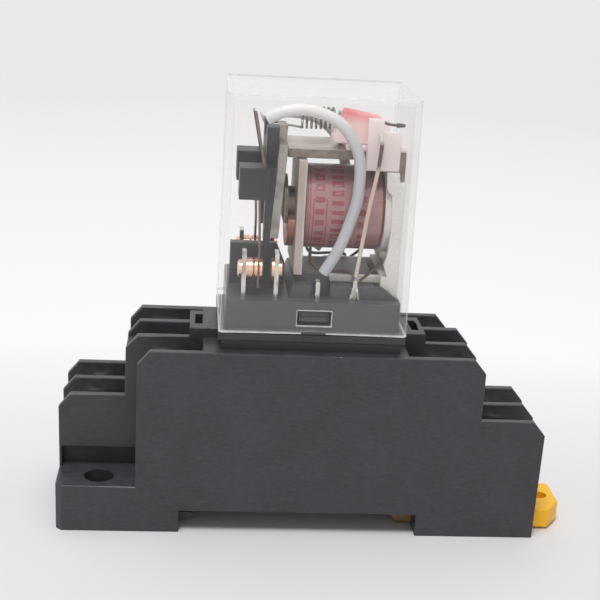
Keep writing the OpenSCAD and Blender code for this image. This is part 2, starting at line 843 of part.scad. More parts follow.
// Strip from an outer bay to the pin at x; the bay in the middle serves one pole
module low_strip(side, pole, x) {
    from_middle = pole == side;
    bay_y = from_middle ? 0 : pole * bay_pitch;
    lane = from_middle ? -side * low_lane : pole * [pin_y - strip_w / 2, pin_y + strip_w / 2];
    leg = side * low_leg_x;
    foot = [x - pin_t / 2 - leaf_t - fit / 2, x + pin_t / 2 + leaf_t + fit / 2];
    cross_from = from_middle ? lane[1] : lane[0];
    difference() {
        block([leg, bay_y - strip_bay_w / 2, low_floor],
            [side * (half_len - strip_end_gap), bay_y + strip_bay_w / 2, low_floor + strip_t]);
        translate([side * low_screw_x, bay_y, low_floor - over])
            cylinder(h = strip_t + 2 * over, d = screw_d + 2 * fit);
    }
    block([leg, lane[0], low_run_z], [leg + side * strip_t, lane[1], low_floor + strip_t]);
    block([leg + side * strip_t, lane[0], low_run_z],
        [x - side * strip_t / 2, lane[1], low_run_z + strip_t]);
    block([x - strip_t / 2, cross_from, low_run_z],
        [x + strip_t / 2, pole * (pin_y + strip_w / 2), low_run_z + strip_t]);
    block([x - strip_t / 2, pole * (pin_y - strip_w / 2), low_run_z],
        [x + strip_t / 2, pole * (pin_y + strip_w / 2), step_z + strip_t]);
    block([foot[0], pole * (pin_y - strip_w / 2), step_z],
        [foot[1], pole * (pin_y + strip_w / 2), step_z + strip_t]);
    pin_leaves(x, pole, step_z);
}

// One contact strip: duty 0 to 3 as in DUTIES, pole -1 at the front and 1 at the rear
module contact_strip(duty, pole) {
    x = relay_x + pin_places[duty];
    color("#c8a050")
    if (duty == 0) low_strip(-1, pole, x);
    else if (duty == 1) high_strip(-1, pole, x);
    else if (duty == 2) high_strip(1, pole, x);
    else low_strip(1, pole, x);
}

// Relay base and cover

module barrier_outline() {
    left = -slab_len / 2 + 0.5;
    polygon([
        [left, 0],
        [no_x + 1.6, 0],
        [no_x + 1.6, deck_h + fit],
        [no_x + 0.4, barrier_h - 0.3],
        [no_x + 0.1, barrier_h],
        [left, barrier_h]
    ]);
}

// Wedge that catches in a latch window
module cover_lug() {
    reach = cover_t - fit;
    translate([0, -slab_w / 2, window_z + lug_gap_z])
        rotate([90, 0, 90]) linear_extrude(window_w - lug_gap_x, center = true)
            polygon([[over, 0], [-reach, 0], [-reach, lug_edge], [0, lug_h], [over, lug_h]]);
}

module relay_base() {
    rim_t = ledge_w / 2 - flange_w / 2 - fit;
    color("#5a5a5e")
    in_relay()
    difference() {
        union() {
            linear_extrude(slab_h) rounded_box_outline(slab_len, slab_w, cover_r);
            across(barrier_t) barrier_outline();
            across(ledge_w)
                polygon([
                    [deck_x - deck_slope, slab_h - over],
                    [deck_far_x + deck_slope, slab_h - over],
                    [deck_far_x, ledge_h],
                    [deck_x, ledge_h]
                ]);
            block([deck_x + deck_slope, -deck_w / 2, slab_h - over], [deck_far_x, deck_w / 2, deck_h]);
            // Rims in front of the bobbin's feet, sloped at the far end
            both_poles()
                translate([0, -ledge_w / 2 + rim_t / 2, 0]) across(rim_t)
                    polygon([
                        [deck_x - deck_slope, slab_h - over],
                        [yoke_out_x, slab_h - over],
                        [yoke_out_x, slab_h + fit],
                        [far_flange_x + fit, ledge_h],
                        [deck_x, ledge_h]
                    ]);
            both_poles() cover_lug();
        }
        // Troughs round the common terminals
        both_poles()
            block([trough_left, -slab_w / 2 - over, slab_h], [trough_right, -deck_w / 2 - fit, deck_h]);
        for (x = pin_places) for (pole = [-1, 1])
            pin_slot([x, pole * pin_y], fit / 2, -over, deck_h + over);
    }
}

module rounded_box_outline(len, w, r) {
    square([len - 2 * r, w], center = true);
    square([len, w - 2 * r], center = true);
    for (x = [-1, 1]) for (y = [-1, 1])
        translate([x * (len / 2 - r), y * (w / 2 - r)]) circle(r = r, $fn = 32);
}

// Upright shell that leans in by the cover's draft
module drafted(len, w, h, r, lean) {
    linear_extrude(h, scale = [1 - 2 * lean / len, 1 - 2 * lean / w], slices = 1)
        rounded_box_outline(len, w, r);
}

module relay_cover() {
    inner_h = cover_h - cover_t;
    color("#e8eef2", 0.3)
    in_relay() translate([0, 0, cover_lift])
    difference() {
        drafted(cover_len, cover_w, cover_h, cover_r, cover_draft);
        translate([0, 0, -over])
            drafted(inner_len + 2 * cover_draft * over / cover_h,
                inner_w + 2 * cover_draft * over / cover_h,
                inner_h + over, cover_r / 2, cover_draft * (inner_h + over) / cover_h);
        both_poles() {
            block([-window_w / 2, -cover_w / 2 - over, window_z - cover_lift],
                [window_w / 2, -inner_w / 2 + over, window_z - cover_lift + window_h]);
            block([-notch_w / 2, -cover_w / 2 - over, -over],
                [notch_w / 2, -inner_w / 2 + over, notch_h]);
        }
    }
}

// Two prongs that spread down from the top of a coil terminal
module fork_outline(top) {
    foot = slab_h + fit;
    polygon([
        [-prong_w / 2, top + prong_w / 2],
        [prong_w / 2, top + prong_w / 2],
        [fork_spread, foot],
        [fork_spread - prong_w, foot],
        [0, top - 2 * prong_w],
        [-fork_spread + prong_w, foot],
        [-fork_spread, foot]
    ]);
}

// Blade terminal of one duty; the coil terminals carry a fork
module terminal(duty, pole) {
    x = pin_places[duty];
    top = terminal_tops[duty];
    tip_h = pin_w / 3;
    riveted = duty < 2;
    forked = duty == 3;
    color("#d8d8d2")
    in_relay() translate([x, pole * pin_y, 0]) {
        difference() {
            rotate([90, 0, 90]) linear_extrude(pin_t, center = true)
                polygon([
                    [-pin_w / 2, -pin_len + tip_h],
                    [-pin_w / 4, -pin_len],
                    [pin_w / 4, -pin_len],
                    [pin_w / 2, -pin_len + tip_h],
                    [pin_w / 2, top],
                    [-pin_w / 2, top]
                ]);
            if (riveted) translate([0, 0, contact_h]) bar_x(-pin_t, pin_t, contact_d / 2 + fit);
        }
        if (forked)
            translate([0, pole * (pin_w / 2 + fork_t / 2 - fit), 0]) across(fork_t) fork_outline(top);
    }
}

// Contact rivet along X through a blade at x = 0, with a head on each side
module rivet(blade, left_t, left_d, right_t, right_d) {
    edge = 0.15;
    rotate([0, 90, 0]) rotate_extrude()
        polygon([
            [0, -blade / 2 - left_t],
            [left_d / 2 - 2 * edge, -blade / 2 - left_t],
            [left_d / 2, -blade / 2 - left_t + edge],
            [left_d / 2, -blade / 2],
            [contact_d / 4, -blade / 2],
            [contact_d / 4, blade / 2],
            [right_d / 2, blade / 2],
            [right_d / 2, blade / 2 + right_t - edge],
            [right_d / 2 - 2 * edge, blade / 2 + right_t],
            [0, blade / 2 + right_t]
        ]);
}

module fixed_contacts() {
    tail_d = contact_d * 0.8;
    color("#c88a5c")
    in_relay() for (pole = [-1, 1]) translate([0, pole * pin_y, contact_h]) {
        translate([nc_x, 0, 0]) rivet(pin_t, tail_t, tail_d, nc_head_t, contact_d);
        translate([no_x, 0, 0]) rivet(pin_t, no_head_t, contact_d, tail_t, tail_d);
    }
}

// Magnet

// Side of the frame that stands beside the yoke's leg, in X and Z
module frame_outline() {
    polygon([
        [yoke_out_x, slab_h + fit / 2],
        [yoke_out_x, yoke_h - 4.15],
        [yoke_in_x + 0.5, yoke_h - 4.15],
        [yoke_in_x + 0.35, cheek_low - fit],
        [far_flange_x - 0.2, cheek_low - fit],
        [far_flange_x - 0.1, yoke_h - 4.9],
        [far_flange_x + 0.2, yoke_h - 5.5],
        [far_flange_x + 0.75, yoke_h - 5.9],
        [far_flange_x + 0.75, core_h + 1.6],
        [far_flange_x + 0.95, core_h - 2.9],
        [far_flange_x + 0.65, core_h - 5.6],
        [far_flange_x + 0.25, core_h - 7.05],
        [far_flange_x + 0.9, foot_h - fit],
        [yoke_in_x + 0.15, slab_h + fit / 2]
    ]);
}

module bobbin() {
    frame_t = flange_w / 2 - yoke_w / 2 - fit;
    color("#d2cdca")
    in_relay()
    difference() {
        union() {
            block([flange_x, -flange_w / 2, deck_h + fit / 2],
                [flange_x + flange_t, flange_w / 2, flange_top]);
            translate([0, 0, core_h]) {
                bar_x(flange_x + flange_t - over, far_flange_x + over, 2 * tube_r);
                bar_x(far_flange_x, far_flange_x + flange_t, coil_d + 2 * flange_rim);
            }
            block([far_flange_x, -flange_w / 2, slab_h + fit / 2],
                [far_flange_x + flange_t, flange_w / 2, foot_h]);
            both_poles() {
                translate([0, -flange_w / 2 + frame_t / 2, 0]) across(frame_t) frame_outline();
                block([rail_x, -deck_w / 2 - fit - rail_t, ledge_h + fit / 2],
                    [far_flange_x + over, -deck_w / 2 - fit, deck_h]);
            }
        }
        translate([0, 0, core_h])
            bar_x(flange_x - over, far_flange_x + flange_t + over, core_d + fit);
    }
}

// Sleeve of two radii along the coil
module coil_layer(x0, x1, inner_r, outer_r) {
    translate([0, 0, core_h])
    difference() {
        bar_x(x0, x1, 2 * outer_r);
        bar_x(x0 - over, x1 + over, 2 * inner_r);
    }
}

module winding() {
    color("#a0643c")
    in_relay()
        coil_layer(flange_x + flange_t + fit, far_flange_x - fit, tube_r + fit / 4, winding_r);
}

module coil_tape() {
    color("#c8a0a0")
    in_relay()
        coil_layer(flange_x + flange_t + 2 * fit, far_flange_x - 4 * fit, winding_r + fit / 4,
            coil_d / 2);
}

module core() {
    color("#a8a49c")
    in_relay() translate([0, 0, core_h]) {
        difference() {
            bar_x(pole_x, pole_x + pole_t, pole_d);
            block([pole_x - over, -pole_d, -pole_d], [pole_x + pole_t + over, pole_d, -pole_foot]);
        }
        bar_x(pole_x + pole_t / 2, yoke_in_x - fit / 4, core_d);
        bar_x(yoke_in_x - over, yoke_out_x - fit / 2, stub_d);
    }
}

// Copper collar round the lower half of the core's neck
module shading_ring() {
    x0 = pole_x + pole_t + fit / 2;
    x1 = flange_x - fit / 2;
    color("#be7d5f")
    in_relay() translate([0, 0, core_h])
    difference() {
        bar_x(x0, x1, ring_d);
        bar_x(x0 - over, x1 + over, core_d + fit);
        block([x0 - over, -ring_d, -ring_top], [x1 + over, ring_d, ring_d]);
    }
}

module yoke() {
    color("#beb4a5")
    in_relay()
    difference() {
        union() {
            block([hinge_x + fit, -yoke_w / 2, yoke_h - yoke_t], [yoke_out_x, yoke_w / 2, yoke_h]);
            block([yoke_in_x, -yoke_w / 2, slab_h + fit / 2], [yoke_out_x, yoke_w / 2, yoke_h]);
            block([anchor_x, -anchor_w / 2, yoke_h - over],
                [anchor_x + anchor_t, anchor_w / 2, anchor_top]);
        }
        translate([0, 0, core_h]) bar_x(yoke_in_x - over, yoke_out_x + over, stub_d + fit);
        translate([0, 0, spring_z])
            bar_x(anchor_x - over, anchor_x + anchor_t + over, hook_hole_d);
    }
}

// Return spring along X, hooked low in the armature's tail and on the yoke's anchor
module return_spring() {
    r = (spring_d - wire_d) / 2;
    per_turn = 16;
    steps = spring_turns * per_turn;
    bend = 0.5;
    turn = 0.3;
    hook_len = 0.8;
    left_x = hinge_x - armature_t - 1.5 * bend;
    right_x = anchor_x + anchor_t + 1.5 * turn;
    coil = [
        for (i = [1:steps - 1])
            [spring_x + spring_len * i / steps, r * sin(360 * i / per_turn), -r * cos(360 * i / per_turn)]
    ];
    left_hook = [
        [left_x, 0, -hook_drop - hook_len],
        [left_x, 0, -hook_drop - turn],
        [left_x + turn, 0, -hook_drop],
        [spring_x - 2 * bend, 0, -hook_drop],
        [spring_x - bend / 2, 0, -r]
    ];
    right_hook = [
        [anchor_x - bend, 0, -r + turn],
        [anchor_x - turn, 0, 0],
        [right_x - turn, 0, 0],
        [right_x, 0, -turn],
        [right_x, 0, -hook_len]
    ];
    color("#c4c4c0")
    in_relay() translate([0, 0, spring_z])
        wire(concat(left_hook, coil, right_hook), wire_d, [0, 1, 0], 8);
}

// Lamp and leads

module lamp() {
    color("#e8aaa5")
    in_relay() translate([0, lamp_mid_y, 0]) across(lamp_w)
        polygon([
            [lamp_x + lamp_bevel, lamp_z],
            [lamp_x, lamp_z + lamp_bevel],
            [lamp_x + lamp_lean, lamp_top],
            [lamp_far_x - fit, lamp_top - lamp_fall],
            [lamp_far_x, lamp_z]
        ]);
}

// Front cheek of the lamp holder in X and Z
module cheek_outline() {
    polygon([
        [holder_x, cheek_low],
        [holder_far_x, cheek_low],
        [holder_far_x, cheek_step],
        [lamp_far_x + 3 * fit, cheek_step],
        [lamp_far_x, lamp_top - lamp_fall],
        [holder_x, lamp_top - lamp_fall]
    ]);
}

module lamp_holder() {
    floor_z = yoke_h + fit / 2;
    floor_top = lamp_z - fit / 4;
    color("#dedcda")
    in_relay() {
        block([anchor_x + anchor_t + fit, -cheek_in, floor_z], [yoke_out_x, cheek_in, floor_top]);
        block([holder_x, -cheek_in - holder_t / 2, floor_z],
            [holder_far_x, cheek_in + holder_t / 2, floor_top]);
        block([lamp_far_x + fit, lamp_mid_y - lamp_w / 2, floor_z],
            [lamp_far_x + fit + holder_t, lamp_mid_y + lamp_w / 2, cheek_step - fit]);
        translate([0, -cheek_in - holder_t / 2, 0]) across(holder_t) cheek_outline();
        block([holder_x, cheek_in, cheek_low], [holder_far_x, cheek_in + holder_t, cheek_step]);
    }
}

// Cut end of lead at the lamp's far end, with a thicker tip
module lamp_stub() {
    tip_len = 1.2;
    tip_x = lamp_far_x + 2.1;
    y = lamp_mid_y - lamp_w / 3;
    route = [
        [lamp_far_x + fit / 2, y, stub_z],
        [(lamp_far_x + tip_x) / 2, y, stub_z - 0.3],
        [tip_x + fit, y, stub_z - 0.4]
    ];
    color("#5a544e")
    in_relay() {
        wire(smooth_route(route, 4), stub_lead_d, [0, 1, 0], 8);
        translate([tip_x, y, stub_z - 0.4]) rotate([0, 90, 0])
            cylinder(h = tip_len, d1 = 1.8 * stub_lead_d, d2 = 1.2 * stub_lead_d, $fn = 16);
    }
}

module lamp_lead() {
    color("#d7bea8")
    in_relay() wire(smooth_route(lamp_lead_route, 4), lead_d, [1, 0, 0], 8);
}

module lead_sleeve(route) {
    color("#c3c8cd")
    in_relay() wire(smooth_route(route, 4), sleeve_d, [0, 1, 0], 10);
}

module coil_wires() {
    color("#504640")
    in_relay() both_poles() {
        wire(smooth_route(coil_wire_route, 4), coil_wire_d, [0, 1, 0], 8);
        wire(smooth_route(coil_tag_route, 3), coil_wire_d, [0, 1, 0], 8);
    }
}

// Armature and what it carries

// Left face of the open armature at height z
function armature_back(z) =
    hinge_x - armature_t / cos(armature_open) - (yoke_h - z) * tan(armature_open);

module armature() {
    color("#8c8782")
    in_relay() translate([hinge_x, 0, yoke_h]) rotate([0, armature_open, 0])
    difference() {
        union() {
            block([-armature_t, -armature_w / 2, -armature_len], [0, armature_w / 2, shoulder_h]);
            block([-armature_t, -tail_w / 2, 0], [0, tail_w / 2, tail_h]);
        }
        // Notch for the return spring's hook
        block([-armature_t - over, -hook_hole_d / 2, hook_z - yoke_h - hook_hole_d / 2],
            [over, hook_hole_d / 2, tail_h + over]);
    }
}

// Outline of a moving spring in X and Z, as thick as t
module spring_outline(t, rise) {
    route = spring_route(rise);
    left = [for (p = route) [p.x - t / 2, p.y]];
    right = [for (i = [len(route) - 1:-1:0]) [route[i].x + t / 2, route[i].y]];
    polygon(concat(left, right));
}

module contact_card() {
    color("#303034")
    in_relay()
    difference() {
        union() {
            // Lower legs and shoulder
            across(card_leg_w) card_web(card_foot, card_high);
            across(card_upper_w) card_web(card_high - over, card_top);
            // Two noses that hold the springs
            block([card_nose_x, -card_w / 2, card_low], [card_x + over, card_w / 2, card_high]);
        }
        across(card_gap_w) polygon([
            [card_nose_x - over, card_foot - over],
            [hinge_x, card_foot - over],
            [hinge_x, card_low],
            [card_nose_x - over, card_low]
        ]);
        block([card_nose_x - over, -card_gap_w / 2, card_low - over],
            [card_x, card_gap_w / 2, card_high + over]);
        // Room for the return spring's hook
        block([card_x - over, -tail_w / 2, yoke_h + shoulder_h + fit],
            [hinge_x + over, tail_w / 2, card_top + over]);
        both_poles()
            translate([0, -pin_y, 0]) across(blade_w + fit) spring_outline(blade_t + fit / 2, spring_rise);
    }
}

// Part of the card's web between two heights, behind the armature
module card_web(z0, z1) {
    polygon([
        [card_x, z0],
        [armature_back(z0), z0],
        [armature_back(z1), z1],
        [card_x, z1]
    ]);
}

module moving_spring(rise) {
    color("#b8aa90")
    in_relay() translate([0, -pin_y, 0])
    difference() {
        across(blade_w) spring_outline(blade_t, rise);
        translate([blade_x, 0, contact_h]) bar_x(-over, over, contact_d / 2 + fit);
    }
}

module moving_contacts() {
    color("#c88a5c")
    in_relay() for (pole = [-1, 1])
        translate([blade_x, pole * pin_y, contact_h])
            rivet(blade_t, move_head_t, contact_d, move_head_t, contact_d);
}

socket_body();
bottom_plate();
release_slider();
terminal_screws();
clamp_washers();
for (i = [0:len(STRIPS) - 1])
    contact_strip(floor(i / 2), 2 * (i % 2) - 1);
relay_base();
relay_cover();
for (i = [0:len(PINS) - 1])
    terminal(floor(i / 2), 2 * (i % 2) - 1);
fixed_contacts();
bobbin();
winding();
coil_tape();
core();
shading_ring();
yoke();
return_spring();
lamp();
lamp_holder();
lamp_stub();
coil_wires();
lamp_lead();  // lamp_lead_front
mirror([0, 1, 0]) lamp_lead();  // lamp_lead_rear
lead_sleeve(sleeve_route);  // lead_sleeve_front
mirror([0, 1, 0]) lead_sleeve(rear_sleeve_route);  // lead_sleeve_rear
armature();
contact_card();
moving_spring(spring_rise);  // moving_spring_front
mirror([0, 1, 0]) moving_spring(rear_spring_rise);  // moving_spring_rear
moving_contacts();
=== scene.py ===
import logging
import math
from dataclasses import dataclass
from enum import Enum
from typing import Protocol, Sequence, Union

import bmesh
import bpy
from mathutils import Matrix, Vector


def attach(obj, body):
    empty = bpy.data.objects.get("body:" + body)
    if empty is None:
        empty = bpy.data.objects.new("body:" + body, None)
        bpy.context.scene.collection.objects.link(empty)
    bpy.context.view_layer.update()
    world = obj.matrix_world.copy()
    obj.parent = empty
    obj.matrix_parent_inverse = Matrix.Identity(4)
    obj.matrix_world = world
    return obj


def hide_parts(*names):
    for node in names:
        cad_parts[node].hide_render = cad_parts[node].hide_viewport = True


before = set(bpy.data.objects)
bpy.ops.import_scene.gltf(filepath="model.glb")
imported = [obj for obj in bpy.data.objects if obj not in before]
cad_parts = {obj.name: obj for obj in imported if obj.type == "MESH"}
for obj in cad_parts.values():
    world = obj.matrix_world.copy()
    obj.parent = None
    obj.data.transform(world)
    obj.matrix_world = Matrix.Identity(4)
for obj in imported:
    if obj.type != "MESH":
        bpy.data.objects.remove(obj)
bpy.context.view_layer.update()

# Looks of the eight-pin relay in its rail socket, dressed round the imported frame.
# Sizes are in millimetres and go through MM into the frame's metres. The pitch of a noise is in
# patches per metre.
MM = 0.001
# Middle of the relay's underside in the frame
RELAY_ORIGIN = Vector((0.65, 0.0, 30.7))
# Height of the coil's axis in the frame, and the radius of its tape
COIL_AXIS_Z = 47.5
COIL_RADIUS = 6.15
# Contacts of one pole, as the frame's nodes spell them
DUTIES = ("nc", "no", "com", "coil")

# Area in square metres above which a face counts as broad, and the turn in degrees that ends it
BROAD_AREA = 1.5e-6
BROAD_TURN = 20.0
# Gap in metres up to which two points are one, and turn in degrees up to which two faces are one
SAME_POINT = 2e-6
SAME_FACE = 0.4
# Stretch of a grain that runs in no direction
EVEN = (1.0, 1.0, 1.0)
# Span of a share
WHOLE = (0.0, 1.0)

Colour = tuple[float, float, float, float]
Point = tuple[float, float, float]
Span = tuple[float, float]
Link = bpy.types.NodeSocket
Node = bpy.types.Node
Tree = bpy.types.NodeTree
Material = bpy.types.Material
Object = bpy.types.Object
Feed = Union[Link, float, int, Colour, Point]

log = logging.getLogger("relay_scene")


class Body(Enum):
    """Groups of the frame that move as one."""

    SOCKET = "socket"
    SLIDER = "release_slider"
    RELAY = "relay"
    ARMATURE = "armature"


class Pole(Enum):
    """Side of the relay, as the factor that mirrors a front route onto it."""

    FRONT = 1
    REAR = -1

    @property
    def label(self) -> str:
        """Name of this side as the frame's nodes spell it."""
        return self.name.lower()


class Axis(Enum):
    """Direction in which a metal was rolled, as the stretch of its streaks."""

    X = (0.06, 1.0, 1.0)
    Y = (1.0, 0.06, 1.0)
    Z = (1.0, 1.0, 0.06)


def shade(red: int, green: int, blue: int) -> Colour:
    """Turn a display colour into the linear one that a shader takes.

    Args:
        red: Red from 0 to 255.
        green: Green from 0 to 255.
        blue: Blue from 0 to 255.

    Returns:
        The linear colour with full alpha.
    """
    parts = []
    for value in (red, green, blue):
        share = value / 255
        # The standard curve of display colours
        parts.append(share / 12.92 if share <= 0.04045 else ((share + 0.055) / 1.055) ** 2.4)
    return (parts[0], parts[1], parts[2], 1.0)


def in_relay(point: Point, pole: Pole = Pole.FRONT) -> Vector:
    """Place in metres of a relay point, given in millimetres on the front side, on either side."""
    x, y, z = point
    return (Vector((x, y * pole.value, z)) + RELAY_ORIGIN) * MM


def put(name: str, data: bpy.types.ID) -> Object:
    """Put a mesh, camera or lamp into the scene.

    Args:
        name: Name of its object.
        data: What the object holds.

    Returns:
        The new object at the origin.
    """
    obj = bpy.data.objects.new(name, data)
    bpy.context.scene.collection.objects.link(obj)
    return obj


def put_shape(name: str, shape: bmesh.types.BMesh) -> Object:
    """Put a finished shape into the scene.

    Args:
        name: Name of its object.
        shape: Shape, which is freed.

    Returns:
        The new object at the origin.
    """
    mesh = bpy.data.meshes.new(name)
    shape.to_mesh(mesh)
    shape.free()
    return put(name, mesh)


def bake(obj: Object) -> None:
    """Make a plain mesh of what an object's modifiers give, and remove them.

    Args:
        obj: Object to bake.
    """
    shapes = bpy.context.evaluated_depsgraph_get()
    made = bpy.data.meshes.new_from_object(obj.evaluated_get(shapes), depsgraph=shapes)
    obj.modifiers.clear()
    obj.data = made


class Graph:
    """Adds and joins the nodes of one node tree."""

    def __init__(self, tree: Tree) -> None:
        """Keep the tree that the nodes go into."""
        self.tree = tree

    @classmethod
    def group(cls, kind: str, name: str, inputs: dict[str, str], outputs: dict[str, str],
              ) -> tuple["Graph", Node, Node]:
        """Start a node group.

        Args:
            kind: Shader or Geometry.
            name: Name of the group.
            inputs: Its inputs with their types, such as Float.
            outputs: Its outputs with their types.

        Returns:
            The group's graph, its input node and its output node.
        """
        tree = bpy.data.node_groups.new(name, f"{kind}NodeTree")
        for way, sockets in (("INPUT", inputs), ("OUTPUT", outputs)):
            for label, sort in sockets.items():
                tree.interface.new_socket(label, in_out=way, socket_type=f"NodeSocket{sort}")
        graph = cls(tree)
        return graph, graph.add("NodeGroupInput"), graph.add("NodeGroupOutput")

    def add(self, kind: str, **settings: object) -> Node:
        """Add one node.

        Args:
            kind: Type name of the node.
            **settings: Properties to set on it.

        Returns:
            The new node.
        """
        node = self.tree.nodes.new(kind)
        for name, value in settings.items():
            setattr(node, name, value)
        return node

    def feed(self, socket: Link, value: Feed) -> None:
        """Link a socket to another one, or set its plain value.

        Args:
            socket: Input to feed.
            value: Output socket or plain value.
        """
        if isinstance(value, Link):
            self.tree.links.new(value, socket)
        else:
            socket.default_value = value

    def set(self, node: Node, **values: Feed) -> None:
        """Feed a node's inputs, named with _ for each space."""
        for name, value in values.items():
            self.feed(node.inputs[name.replace("_", " ")], value)

    def chain(self, *nodes: Node) -> None:
        """Join the first output of each node to the first input of the next."""
        for first, second in zip(nodes, nodes[1:]):
            self.feed(second.inputs[0], first.outputs[0])

    def reckon(self, kind: str, operation: str, *terms: Feed) -> Node:
        """Work out one sum.

        Args:
            kind: Type name of the node that does it.
            operation: Name of the sum, such as ADD.
            *terms: Its terms in order.

        Returns:
            The node that gives the result.
        """
        node = self.add(kind, operation=operation)
        for socket, term in zip(node.inputs, terms):
            self.feed(socket, term)
        return node

    def math(self, operation: str, *terms: Feed) -> Link:
        """Result of a sum of numbers."""
        return self.reckon("ShaderNodeMath", operation, *terms).outputs[0]

    def vector(self, operation: str, *terms: Feed) -> Link:
        """Result of a sum of vectors."""
        return self.reckon("ShaderNodeVectorMath", operation, *terms).outputs[0]

    def in_mm(self, place: Feed, start: float = 0.0) -> Link:
        """A place in metres as millimetres from a start."""
        return self.math("MULTIPLY_ADD", place, 1 / MM, -start)

    def mix(self, factor: Feed, first: Feed, second: Feed) -> Link:
        """Mix two colours.

        Args:
            factor: Share of the second colour.
            first: Colour at 0.
            second: Colour at 1.

        Returns:
            The mixed colour.
        """
        node = self.add("ShaderNodeMix", data_type="RGBA")
        # The colours' sockets come after those for numbers and vectors
        for index, value in ((0, factor), (6, first), (7, second)):
            self.feed(node.inputs[index], value)
        return node.outputs[2]

    def span(self, value: Feed, source: Span, target: Span) -> Link:
        """Carry a number from one span to another, held at its ends.

        Args:
            value: Number to carry.
            source: Span it comes in.
            target: Span it goes out in.

        Returns:
            The carried number.
        """
        node = self.add("ShaderNodeMapRange")
        for socket, part in zip(node.inputs, (value, *source, *target)):
            self.feed(socket, part)
        return node.outputs[0]

    def share(self, value: Feed, low: float, high: float) -> Link:
        """How far a number has come from low to high, from 0 to 1."""
        return self.span(value, (low, high), WHOLE)

    def between(self, share: Feed, low: float, high: float) -> Link:
        """Number that lies at a share of the way from low to high."""
        return self.span(share, WHOLE, (low, high))

    def band(self, value: Feed, low: float, high: float) -> Link:
        """1 where a number lies between two others and 0 elsewhere."""
        return self.math("MULTIPLY", self.math("GREATER_THAN", value, low),
                         self.math("LESS_THAN", value, high))

    def noise(self, vector: Feed, pitch: Feed, detail: float = 2.0) -> Link:
        """Read soft noise.

        Args:
            vector: Place to read it at.
            pitch: Patches per metre.
            detail: Octaves of finer noise on it.

        Returns:
            The noise from 0 to 1.
        """
        node = self.add("ShaderNodeTexNoise")
        self.set(node, Vector=vector, Scale=pitch, Detail=detail)
        return node.outputs[0]

    def split(self, vector: Link) -> tuple[Link, ...]:
        """Take a vector apart.

        Args:
            vector: Vector to take apart.

        Returns:
            Its three parts.
        """
        node = self.add("ShaderNodeSeparateXYZ")
        self.feed(node.inputs[0], vector)
        return tuple(node.outputs)


class Effects:
    """Shader groups that several finishes share, each built once."""

    def __init__(self) -> None:
        """Build the groups."""
        self.grain = self._grain()
        self.streaks = self._streaks()
        self.dust = self._dust()

    @staticmethod
    def _grain() -> Tree:
        """Lay fine moulded grain over broad soft patches.

        Returns:
            The group.
        """
        graph, given, made = Graph.group(
            "Shader", "moulded_grain",
            {"Vector": "Vector", "Stretch": "Vector", "Grain": "Float", "Patch": "Float"},
            {"Height": "Float", "Tone": "Float"})
        take = given.outputs
        drawn = graph.vector("MULTIPLY", take["Vector"], take["Stretch"])
        fine = graph.noise(drawn, take["Grain"], detail=3.0)
        broad = graph.noise(take["Vector"], take["Patch"], detail=2.0)
        tone = graph.math("MULTIPLY_ADD", fine, 0.65, graph.math("MULTIPLY", broad, 0.35))
        graph.set(made, Height=fine, Tone=graph.share(tone, 0.3, 0.7))
        return graph.tree

    @staticmethod
    def _streaks() -> Tree:
        """Draw rolling marks out in one direction, with dull patches.

        Returns:
            The group.
        """
        graph, given, made = Graph.group(
            "Shader", "rolled_streaks",
            {"Vector": "Vector", "Stretch": "Vector", "Scale": "Float", "Patch": "Float"},
            {"Height": "Float", "Tone": "Float", "Dull": "Float"})
        take = given.outputs
        drawn = graph.vector("MULTIPLY", take["Vector"], take["Stretch"])
        lines = graph.noise(drawn, take["Scale"], detail=3.0)
        patch = graph.noise(take["Vector"], take["Patch"], detail=4.0)
        graph.set(made, Height=lines, Tone=graph.share(lines, 0.35, 0.65),
                  Dull=graph.share(patch, 0.48, 0.66))
        return graph.tree

    @staticmethod
    def _dust() -> Tree:
        """Lay thin dust where a surface faces up.

        Returns:
            The group.
        """
        graph, given, made = Graph.group(
            "Shader", "settled_dust", {"Vector": "Vector", "Amount": "Float"}, {"Mask": "Float"})
        normal = graph.add("ShaderNodeNewGeometry").outputs["Normal"]
        up = graph.share(graph.split(normal)[2], 0.4, 1.0)
        specks = graph.noise(given.outputs["Vector"], pitch=1800.0, detail=3.0)
        lying = graph.math("MULTIPLY", up, graph.span(specks, (0.4, 0.75), (0.25, 1.0)))
        graph.set(made, Mask=graph.math("MULTIPLY", lying, given.outputs["Amount"]))
        return graph.tree


class Finish(Protocol):
    """Anything that can be made a material."""

    name: str

    def material(self, effects: Effects) -> Material:
        """Build the material from the shared effects."""


